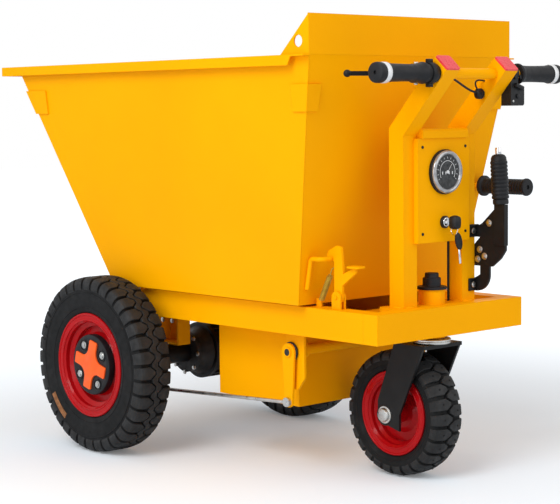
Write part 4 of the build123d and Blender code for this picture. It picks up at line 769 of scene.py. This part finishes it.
controlSettings = {
    "perchScrews": (
        ((-0.5600, 0.1260, 0.8712), (0, 0, 1)), ((-0.5600, 0.1260, 0.8342), (0, 0, -1)),
    ),
    "perchScrew": {"radius": 0.0048, "length": 0.0040, "edge": 0.0006, "sides": 20},
    "clamp": ((0.0150, 0.1170), (0.0208, 0.1170), (0.0218, 0.1186), (0.0218, 0.1314),
              (0.0208, 0.1330), (0.0150, 0.1330)),
    "clampLugs": ((-0.5951, 0.1250, 0.8760), (-0.5951, 0.1250, 0.8294)),
    "clampLug": {"size": (0.0110, 0.0120, 0.0090), "edge": 0.0016},
    "buttons": ((-0.6081, -0.1240, 0.8460), (-0.6081, -0.1400, 0.8460), (-0.6081, -0.1320, 0.8060)),
    "button": {"radius": 0.0048, "length": 0.0034, "edge": 0.0009, "sides": 24},
    "thumb": {"place": (-0.6110, -0.1330, 0.8260), "size": (0.0100, 0.0260, 0.0090),
              "edge": 0.0022, "turn": 18.0},
    "screws": ((-0.6081, -0.1180, 0.7960), (-0.6081, -0.1180, 0.8620)),
    "screw": {"radius": 0.0026, "length": 0.0010, "edge": 0.0003, "sides": 12},
}
makeDrums("perchScrews", controlSettings["perchScrews"], controlSettings["perchScrew"],
          "chassis", "zinc")
form = bmesh.new()
clampPlace = faceTo(gripSettings["axis"], (0, 1, 0))
addSpun(form, controlSettings["clamp"], clampPlace, steps=40, closed=True)
for place in controlSettings["clampLugs"]:
    addBlockAt(form, place, **controlSettings["clampLug"])
finishPiece("perchClamp", form, "chassis", "black_paint")
form = bmesh.new()
for place in controlSettings["buttons"]:
    addDrum(form, place, (-1, 0, 0), **controlSettings["button"])
addBlockAt(form, **controlSettings["thumb"])
finishPiece("switchButtons", form, "chassis", "black_plastic")
screwSpots = [(place, (-1, 0, 0)) for place in controlSettings["screws"]]
makeDrums("switchScrews", screwSpots, controlSettings["screw"], "chassis", "zinc")

# Gauge: black base, grey bezel, dark dial with plain marks, four bars, an arc and a pointer

gaugeSettings = {
    "place": (-0.5220, 0.0, 0.6520),
    "base": ((0.0, 0.0), (0.0466, 0.0), (0.0466, 0.0050), (0.0450, 0.0068), (0.0, 0.0068)),
    "bezel": ((0.0356, 0.0050), (0.0434, 0.0050), (0.0448, 0.0078), (0.0442, 0.0114),
              (0.0420, 0.0136), (0.0390, 0.0140), (0.0368, 0.0128), (0.0356, 0.0104)),
    "dial": ((0.0, 0.0060), (0.0364, 0.0060), (0.0364, 0.0094), (0.0, 0.0094)),
    "markFace": 0.0096,
    "sweep": 240.0,
    "marks": 13,
    "markRing": 0.0295,
    "markSize": (0.0038, 0.0009, 0.0005),
    "bars": (-0.0150, -0.0050, 0.0050, 0.0150),
    "barDown": -0.0020,
    "barSize": (0.0060, 0.0022, 0.0005),
    "arcRadii": (0.0226, 0.0236),
    "arcSteps": 36,
    "arcThick": 0.0003,
    "pointerTurn": -38.0,
    "pointerMiddle": 0.0090,
    "pointerLift": 0.0010,
    "pointer": {"size": (0.0220, 0.0009, 0.0006), "edge": 0.0002},
    "pointerHub": {"radius": 0.0036, "length": 0.0022, "edge": 0.0005, "sides": 20},
}
gaugePlace = faceTo(gaugeSettings["place"], (-1, 0, 0))
makeSpun("gaugeBase", gaugeSettings["base"], gaugePlace, 56, "chassis", "black_plastic",
         stands=("gauge",))
makeSpun("gaugeBezel", gaugeSettings["bezel"], gaugePlace, 64, "chassis", "chrome", "bezelGrey",
         closed=True)
makeSpun("gaugeDial", gaugeSettings["dial"], gaugePlace, 56, "chassis", "black_plastic", "dialFace")

form = bmesh.new()
face = gaugeSettings["markFace"]
sweep = math.radians(gaugeSettings["sweep"])
sweepStart = Matrix.Rotation(-sweep / 2, 4, "Z")
markPlace = Matrix.Translation((gaugeSettings["markRing"], 0.0, face))
addBlock(form, sweepStart @ markPlace, gaugeSettings["markSize"])
marks = gaugeSettings["marks"]
repeatAround(form, marks, arc=sweep * marks / (marks - 1))
for across in gaugeSettings["bars"]:
    barPlace = Matrix.Translation((gaugeSettings["barDown"], across, face))
    addBlock(form, barPlace, gaugeSettings["barSize"])
older = set(form.verts)
arcEnd = [form.verts.new((radius, 0.0, face)) for radius in gaugeSettings["arcRadii"]]
arcLine = form.edges.new(arcEnd)
bmesh.ops.spin(
    form, geom=arcEnd + [arcLine], cent=(0, 0, 0), axis=(0, 0, 1), angle=sweep,
    steps=gaugeSettings["arcSteps"],
)
arcVerts = {vert for vert in form.verts if vert not in older}
bmesh.ops.transform(form, matrix=sweepStart, verts=list(arcVerts))
arcFaces = [shape for shape in form.faces if all(vert in arcVerts for vert in shape.verts)]
arcTop = vertsOf(bmesh.ops.extrude_face_region(form, geom=arcFaces)["geom"])
bmesh.ops.translate(form, vec=(0, 0, gaugeSettings["arcThick"]), verts=arcTop)
finishPiece("gaugeMarks", form, "chassis", "chrome", "ringWhite", matrix=gaugePlace)

form = bmesh.new()
pointerTurn = Matrix.Rotation(math.radians(gaugeSettings["pointerTurn"]), 4, "Z")
pointerFace = face + gaugeSettings["pointerLift"]
pointerPlace = Matrix.Translation((gaugeSettings["pointerMiddle"], 0.0, pointerFace))
addBlock(form, pointerTurn @ pointerPlace, **gaugeSettings["pointer"])
addDrum(form, (0.0, 0.0, face), (0, 0, 1), **gaugeSettings["pointerHub"])
finishPiece("gaugePointer", form, "chassis", "chrome", "ringWhite", matrix=gaugePlace)
print("gauge made")

# Key switch with a key in it, and a ring with an oval fob and a spare blade

keySettings = {
    "place": (-0.5220, 0.0, 0.5480),
    "collar": ((0.0, 0.0), (0.0130, 0.0), (0.0130, 0.0040), (0.0120, 0.0056), (0.0100, 0.0060),
               (0.0, 0.0060)),
    "face": ((0.0, 0.0050), (0.0098, 0.0050), (0.0098, 0.0072), (0.0086, 0.0082), (0.0, 0.0084)),
    "head": {"place": (-0.5500, -0.0020, 0.5480), "size": (0.0235, 0.0210, 0.0290), "edge": 0.0078},
    "blade": {"place": (-0.5370, 0.0, 0.5480), "size": (0.0140, 0.0022, 0.0062), "edge": 0.0004},
    "spare": {"place": (-0.5450, -0.0220, 0.4760), "size": (0.0020, 0.0060, 0.0300),
              "edge": 0.0004, "turn": -6.0},
    "ring": (-0.5450, -0.0060, 0.5330),
    "ringAxis": (0.25, 1.0, 0.15),
    "ringRadius": 0.0115,
    "ringWire": 0.0009,
    "ringSides": 8,
    "fob": (-0.5450, -0.0190, 0.5080),
    "fobTurn": -16.0,
    "fobSize": (0.0190, 0.0100, 0.0056),
    "fobOutline": ((0.0, -0.5), (0.80, -0.5), (1.0, -0.2), (1.0, 0.2), (0.80, 0.5), (0.0, 0.5)),
}
keyPlace = faceTo(keySettings["place"], (-1, 0, 0))
form = bmesh.new()
addSpun(form, keySettings["collar"], keyPlace, steps=40)
addBlockAt(form, **keySettings["head"])
finishPiece("keySwitchBlack", form, "chassis", "black_plastic", stands=("key_switch",))
form = bmesh.new()
addSpun(form, keySettings["face"], keyPlace, steps=40)
addBlockAt(form, **keySettings["blade"])
keyLoop = roundLoop(
    keySettings["ringRadius"], 0.0, keySettings["ringWire"], keySettings["ringSides"],
)
keyRing = faceTo(keySettings["ring"], keySettings["ringAxis"])
addSpun(form, keyLoop, keyRing, steps=32, closed=True)
addBlockAt(form, **keySettings["spare"])
finishPiece("keyMetal", form, "chassis", "chrome")
fobTurn = Matrix.Rotation(math.radians(keySettings["fobTurn"]), 4, "X")
fobShape = Matrix.Rotation(math.pi / 2, 4, "Y") @ Matrix.Diagonal((*keySettings["fobSize"], 1.0))
fobPlace = Matrix.Translation(keySettings["fob"]) @ fobTurn @ fobShape
makeSpun("keyFob", keySettings["fobOutline"], fobPlace, 36, "chassis", "black_plastic")

# Panel screws, and the buzzer on its bracket at the right post

panelSettings = {
    "screws": ((0.0660, 0.7040), (-0.0660, 0.7040), (0.0660, 0.5260), (-0.0660, 0.5260)),
    "screw": {"radius": 0.0032, "length": 0.0018, "edge": 0.0008, "sides": 20},
    "face": -0.5220,
    "buzzer": (-0.5620, -0.0580, 0.8120),
    "buzzerOutline": (
        (0.0, 0.0), (0.0104, 0.0), (0.0110, 0.0008), (0.0110, 0.0100), (0.0100, 0.0114),
        (0.0088, 0.0114), (0.0084, 0.0100), (0.0030, 0.0100), (0.0026, 0.0090), (0.0, 0.0090),
    ),
    "bracket": {"place": (-0.5640, -0.0650, 0.8120), "size": (0.0030, 0.0260, 0.0140),
                "edge": 0.0006},
}
screwSpots = [((panelSettings["face"], *spot), (-1, 0, 0)) for spot in panelSettings["screws"]]
makeDrums("panelScrews", screwSpots, panelSettings["screw"], "chassis", "black_paint")
form = bmesh.new()
addSpun(form, panelSettings["buzzerOutline"], faceTo(panelSettings["buzzer"], (-1, 0, 0)), steps=36)
addBlockAt(form, **panelSettings["bracket"])
finishPiece("buzzer", form, "chassis", "black_plastic")

# Short leads, held at both ends
leadSettings = {
    "buzzerLead": {
        "route": ((-0.5680, -0.0520, 0.8200), (-0.5640, -0.0460, 0.8330),
                  (-0.5660, -0.0560, 0.8420), (-0.5720, -0.0720, 0.8380)),
        "radius": 0.0018,
    },
    "barCable": {
        "route": ((-0.5900, 0.0540, 0.8440), (-0.5840, 0.0360, 0.8400), (-0.5760, -0.0020, 0.8260),
                  (-0.5700, -0.0340, 0.8160), (-0.5680, -0.0560, 0.8130)),
        "radius": 0.0024,
    },
}
for leadName, lead in leadSettings.items():
    makeLead(leadName, **lead, slotName="rubber")
print("panel fittings made")

# Hand brake: ribbed grip with a chrome button, the bracket's bolts, and its lugs on the post


def ribbedOutline(grip):
    outline = list(grip["flange"])
    for rib in range(grip["ribs"]):
        foot = grip["ribStart"] + rib * grip["ribPitch"]
        outline += [(radius, foot + along) for radius, along in grip["rib"]]
    return outline + list(grip["tip"])


brakeSettings = {
    "gripFoot": (-0.5795, -0.1130, 0.5810),
    "gripAxis": (0.0069, 0.0, 0.1070),
    "flange": ((0.0, 0.0), (0.0150, 0.0), (0.0166, 0.0020), (0.0166, 0.0095), (0.0150, 0.0110)),
    "ribs": 10,
    "ribStart": 0.0120,
    "ribPitch": 0.0080,
    "rib": ((0.0168, 0.0), (0.0180, 0.0012), (0.0183, 0.0034), (0.0180, 0.0060), (0.0168, 0.0072)),
    "tip": ((0.0166, 0.0930), (0.0160, 0.0985), (0.0130, 0.1030), (0.0080, 0.1052), (0.0, 0.1056)),
    "buttonAlong": 0.97,
    "button": {"radius": 0.0062, "length": 0.0150, "edge": 0.0010, "sides": 28},
    "bolts": ((-0.525, 0.484), (-0.538, 0.470), (-0.519, 0.463), (-0.550, 0.541),
              (-0.5020, 0.5235), (-0.5020, 0.4090)),
    "plateFaces": ((-0.1100, 1), (-0.1160, -1)),
    "washer": {"radius": 0.0074, "length": 0.0012, "edge": 0.0003, "sides": 20},
    "nutLift": 0.0011,
    "nut": {"radius": 0.0054, "length": 0.0036, "edge": 0.0006, "sides": 6},
    "lugs": ((-0.5117, -0.1050, 0.5235), (-0.5117, -0.1050, 0.4090)),
    "lug": {"size": (0.0034, 0.0320, 0.0270), "edge": 0.0014},
    "lugBolts": ((-0.5134, -0.1010, 0.5235), (-0.5134, -0.1010, 0.4090)),
    "lugBolt": {"radius": 0.0062, "length": 0.0034, "edge": 0.0012, "sides": 28},
}
gripFoot, gripAxis = Vector(brakeSettings["gripFoot"]), Vector(brakeSettings["gripAxis"])
makeSpun("handBrakeGripRibbed", ribbedOutline(brakeSettings), faceTo(gripFoot, gripAxis),
         40, "chassis", "rubber", stands=("hand_brake_grip",))
buttonSpots = [(gripFoot + gripAxis * brakeSettings["buttonAlong"], gripAxis)]
makeDrums("handBrakeButton", buttonSpots, brakeSettings["button"], "chassis", "chrome")
form = bmesh.new()
for behind, height in brakeSettings["bolts"]:
    for face, way in brakeSettings["plateFaces"]:
        nutFoot = (behind, face + way * brakeSettings["nutLift"], height)
        addDrum(form, (behind, face, height), (0, way, 0), **brakeSettings["washer"])
        addDrum(form, nutFoot, (0, way, 0), **brakeSettings["nut"])
finishPiece("handBrakeBolts", form, "chassis", "zinc")
form = bmesh.new()
for place in brakeSettings["lugs"]:
    addBlockAt(form, place, **brakeSettings["lug"])
finishPiece("handBrakeLugs", form, "chassis", "black_paint")
lugSpots = [(place, (-1, 0, 0)) for place in brakeSettings["lugBolts"]]
makeDrums("handBrakeLugBolts", lugSpots, brakeSettings["lugBolt"], "chassis", "zinc")
print("hand brake fittings made")

# Tub handle grip: flange, ribs and an end ring
handleSettings = {
    "place": (-0.4070, -0.2580, 0.6100),
    "flange": ((0.0, 0.0), (0.0218, 0.0), (0.0229, 0.0012), (0.0229, 0.0068), (0.0218, 0.0080),
               (0.0172, 0.0100), (0.0162, 0.0150)),
    "ribs": 13,
    "ribStart": 0.0180,
    "ribPitch": 0.0076,
    "rib": ((0.0158, 0.0), (0.0172, 0.0014), (0.0172, 0.0042), (0.0158, 0.0056)),
    "tip": ((0.0160, 0.1180), (0.0186, 0.1200), (0.0192, 0.1215), (0.0192, 0.1250),
            (0.0180, 0.1276), (0.0050, 0.1278), (0.0046, 0.1240), (0.0, 0.1240)),
}
makeSpun("tubHandleRubber", ribbedOutline(handleSettings),
         faceTo(handleSettings["place"], (-1, 0, 0)), 40, "tub", "rubber",
         stands=("tub_handle_grip",))

# Latch spring: a coil with a wire hook at each end
springSettings = {
    "coil": {"place": (-0.3612, 0.2000, 0.3900), "axis": (-0.0270, 0.0, 0.0540), "radius": 0.0052,
             "wire": 0.0013, "turns": 17, "length": 0.0580},
    "hooks": (
        ((-0.3612, 0.2000, 0.3920), (-0.3590, 0.2000, 0.3870), (-0.3560, 0.2000, 0.3820),
         (-0.3580, 0.2000, 0.3770)),
        ((-0.3868, 0.2000, 0.4410), (-0.3900, 0.2000, 0.4500), (-0.3940, 0.2000, 0.4580),
         (-0.4010, 0.2000, 0.4600)),
    ),
}
form = bmesh.new()
addCoil(form, **springSettings["coil"])
finishPiece("latchCoil", form, "chassis", "zinc", "brassZinc", stands=("latch_spring",))
for number, route in enumerate(springSettings["hooks"]):
    wire = springSettings["coil"]["wire"]
    makeLead("latchSpringHook" + str(number), route, wire, "zinc", "brassZinc")

# Bolts on the motor, the gear case and the tub hinge
boltSettings = {
    "axle": (0.2580, 0.2030),
    "bolt": {"radius": 0.0055, "length": 0.0040, "edge": 0.0007, "sides": 6},
    "motorBolts": {"ring": 0.0560, "face": -0.1240, "way": -1, "count": 6},
    "gearCaseBolts": {"ring": 0.0490, "face": 0.0620, "way": 1, "count": 8},
    "hinge": (0.3130, 0.3680),
    "hingeFace": 0.1570,
    "hingeWasher": {"radius": 0.0105, "length": 0.0018, "edge": 0.0004, "sides": 28},
    "hingeNutLift": 0.0017,
    "hingeNut": {"radius": 0.0078, "length": 0.0056, "edge": 0.0009, "sides": 6},
}
axleForward, axleHeight = boltSettings["axle"]
for name in ("motorBolts", "gearCaseBolts"):
    row = boltSettings[name]
    form = bmesh.new()
    place = (axleForward + row["ring"], row["face"], axleHeight)
    addDrum(form, place, (0, row["way"], 0), **boltSettings["bolt"])
    repeatAround(form, row["count"], (axleForward, 0.0, axleHeight), (0.0, 1.0, 0.0))
    finishPiece(name, form, "chassis", "zinc")
hingeForward, hingeHeight = boltSettings["hinge"]
form = bmesh.new()
for side in (1, -1):
    across = side * boltSettings["hingeFace"]
    nutFoot = (hingeForward, across + side * boltSettings["hingeNutLift"], hingeHeight)
    addDrum(form, (hingeForward, across, hingeHeight), (0, side, 0), **boltSettings["hingeWasher"])
    addDrum(form, nutFoot, (0, side, 0), **boltSettings["hingeNut"])
finishPiece("hingeBolts", form, "chassis", "zinc")

# Rings on the brake shaft and the dark eyes in the strap tops
shaftSettings = {
    "axis": (-0.2580, 0.2700),
    "ringAcross": 0.1925,
    "ringRadius": 0.0185,
    "ringThick": 0.0030,
    "ringSides": 10,
    "eyeAcross": 0.1940,
    "eye": {"radius": 0.0076, "length": 0.0104, "edge": 0.0002, "sides": 28},
}
shaftForward, shaftHeight = shaftSettings["axis"]
shaftLoop = roundLoop(
    shaftSettings["ringRadius"], 0.0, shaftSettings["ringThick"], shaftSettings["ringSides"],
)
form = bmesh.new()
for side in (1, -1):
    ringPlace = (shaftForward, side * shaftSettings["ringAcross"], shaftHeight)
    eyePlace = (shaftForward, side * shaftSettings["eyeAcross"], shaftHeight)
    addSpun(form, shaftLoop, faceTo(ringPlace, (0, side, 0)), steps=40, closed=True)
    addDrum(form, eyePlace, (0, side, 0), **shaftSettings["eye"])
finishPiece("brakeShaftRings", form, "chassis", "dark_iron")

# Bolts of the axle brackets under the frame
bracketSettings = {
    "spots": ((0.2400, 0.2850), (0.2760, 0.2850)),
    "faces": ((0.1120, 1), (-0.1660, -1)),
    "bolt": {"radius": 0.0062, "length": 0.0042, "edge": 0.0007, "sides": 6},
}
bracketSpots = [
    ((forward, across, height), (0, way, 0)) for forward, height in bracketSettings["spots"]
    for across, way in bracketSettings["faces"]
]
makeDrums("axleBracketBolts", bracketSpots, bracketSettings["bolt"], "chassis", "zinc")

# Weld beads at the post feet
weldSettings = {
    "posts": ((-0.4900, 0.0900, 0.3755), (-0.4900, -0.0900, 0.3755)),
    "radius": 0.0212,
    "bead": 0.0026,
    "beadSides": 8,
}
weldLoop = roundLoop(weldSettings["radius"], 0.0, weldSettings["bead"], weldSettings["beadSides"])
form = bmesh.new()
for place in weldSettings["posts"]:
    addSpun(form, weldLoop, Matrix.Translation(place), steps=48, closed=True)
finishPiece("postWelds", form, "chassis", "yellow_paint")
print("bolts, welds and spring made")

# Floor, world and lamps

stageSettings = {
    "floorSize": 16.0,
    "floorColour": (0.82, 0.88, 0.94),
    "floorVary": 1.01,
    "floorNoise": 1.2,
    "floorRoughness": 0.9,
    # painted shade: the floor's camera-only glow is lower near the cart than far from it
    "floorSeenNear": 0.12,
    "floorSeenFar": 0.54,
    "nearReach": 0.75,
    "farReach": 2.4,
    "worldLight": 0.60,
    "worldSeen": 1.0,
}
lampSettings = {
    "keyLamp": {"place": (-1.2, 3.6, 3.4), "target": (0.0, 0.0, 0.5), "power": 112.0, "size": 2.6},
    "fillLamp": {"place": (-4.0, -1.2, 2.6), "target": (0.0, 0.0, 0.5), "power": 46.0, "size": 4.5},
    "lowLamp": {"place": (-0.6, 4.2, 0.9), "target": (0.0, 0.0, 0.3), "power": 26.0, "size": 2.4},
}
form = bmesh.new()
bmesh.ops.create_grid(form, x_segments=1, y_segments=1, size=stageSettings["floorSize"])
floorMesh = bpy.data.meshes.new("studioFloor")
form.to_mesh(floorMesh)
form.free()
floor = bpy.data.objects.new("studioFloor", floorMesh)
bpy.context.scene.collection.objects.link(floor)
floorPaper = startMaterial("studioPaper", stageSettings["floorRoughness"], specular=0.0)
floorLight = tuple(level * stageSettings["floorVary"] for level in stageSettings["floorColour"])
colourBand(
    floorPaper, noiseOn(floorPaper, stageSettings["floorNoise"]),
    (0.2, stageSettings["floorColour"]), (0.8, floorLight),
)
# The floor glows a little for the camera alone, and more the further it lies from the cart: painted
# light, weakest near the cart, which paints a pool of shade around it
paperTree = floorPaper.node_tree
paperPath = paperTree.nodes.new("ShaderNodeLightPath")
paperCoords = paperTree.nodes.new("ShaderNodeTexCoord")
paperReach = paperTree.nodes.new("ShaderNodeVectorMath")
paperReach.operation = "LENGTH"
paperGlow = paperTree.nodes.new("ShaderNodeMapRange")
paperGlow.inputs["From Min"].default_value = stageSettings["nearReach"]
paperGlow.inputs["From Max"].default_value = stageSettings["farReach"]
paperGlow.inputs["To Min"].default_value = stageSettings["floorSeenNear"]
paperGlow.inputs["To Max"].default_value = stageSettings["floorSeenFar"]
paperSeen = paperTree.nodes.new("ShaderNodeMath")
paperSeen.operation = "MULTIPLY"
paperShader = paperTree.nodes["Principled BSDF"]
paperShader.inputs["Emission Color"].default_value = (1.0, 1.0, 1.0, 1.0)
paperTree.links.new(paperCoords.outputs["Object"], paperReach.inputs[0])
paperTree.links.new(paperReach.outputs["Value"], paperGlow.inputs["Value"])
paperTree.links.new(paperPath.outputs["Is Camera Ray"], paperSeen.inputs[0])
paperTree.links.new(paperGlow.outputs["Result"], paperSeen.inputs[1])
paperTree.links.new(paperSeen.outputs["Value"], paperShader.inputs["Emission Strength"])
floorMesh.materials.append(floorPaper)

# The world is white where it is seen, reflected or looked through, and softer as a light
world = bpy.data.worlds.new("studioWorld")
bpy.context.scene.world = world
world.use_nodes = True
worldTree = world.node_tree
background = worldTree.nodes["Background"]
background.inputs["Color"].default_value = (1.0, 1.0, 1.0, 1.0)
lightPath = worldTree.nodes.new("ShaderNodeLightPath")
seenFrom = lightPath.outputs["Is Camera Ray"]
for rayKind in ("Is Glossy Ray", "Is Transmission Ray"):
    either = worldTree.nodes.new("ShaderNodeMath")
    either.operation = "MAXIMUM"
    worldTree.links.new(seenFrom, either.inputs[0])
    worldTree.links.new(lightPath.outputs[rayKind], either.inputs[1])
    seenFrom = either.outputs["Value"]
level = worldTree.nodes.new("ShaderNodeMapRange")
level.inputs["To Min"].default_value = stageSettings["worldLight"]
level.inputs["To Max"].default_value = stageSettings["worldSeen"]
worldTree.links.new(seenFrom, level.inputs["Value"])
worldTree.links.new(level.outputs["Result"], background.inputs["Strength"])


def addLamp(name, place, target, power, size):
    lampData = bpy.data.lights.new(name, "AREA")
    lampData.shape = "DISK"
    lampData.energy = power
    lampData.size = size
    lamp = bpy.data.objects.new(name, lampData)
    lamp.location = place
    aim = Vector(target) - Vector(place)
    lamp.rotation_euler = aim.to_track_quat("-Z", "Y").to_euler()
    bpy.context.scene.collection.objects.link(lamp)


for name, lamp in lampSettings.items():
    addLamp(name, **lamp)
print("stage and lamps set")
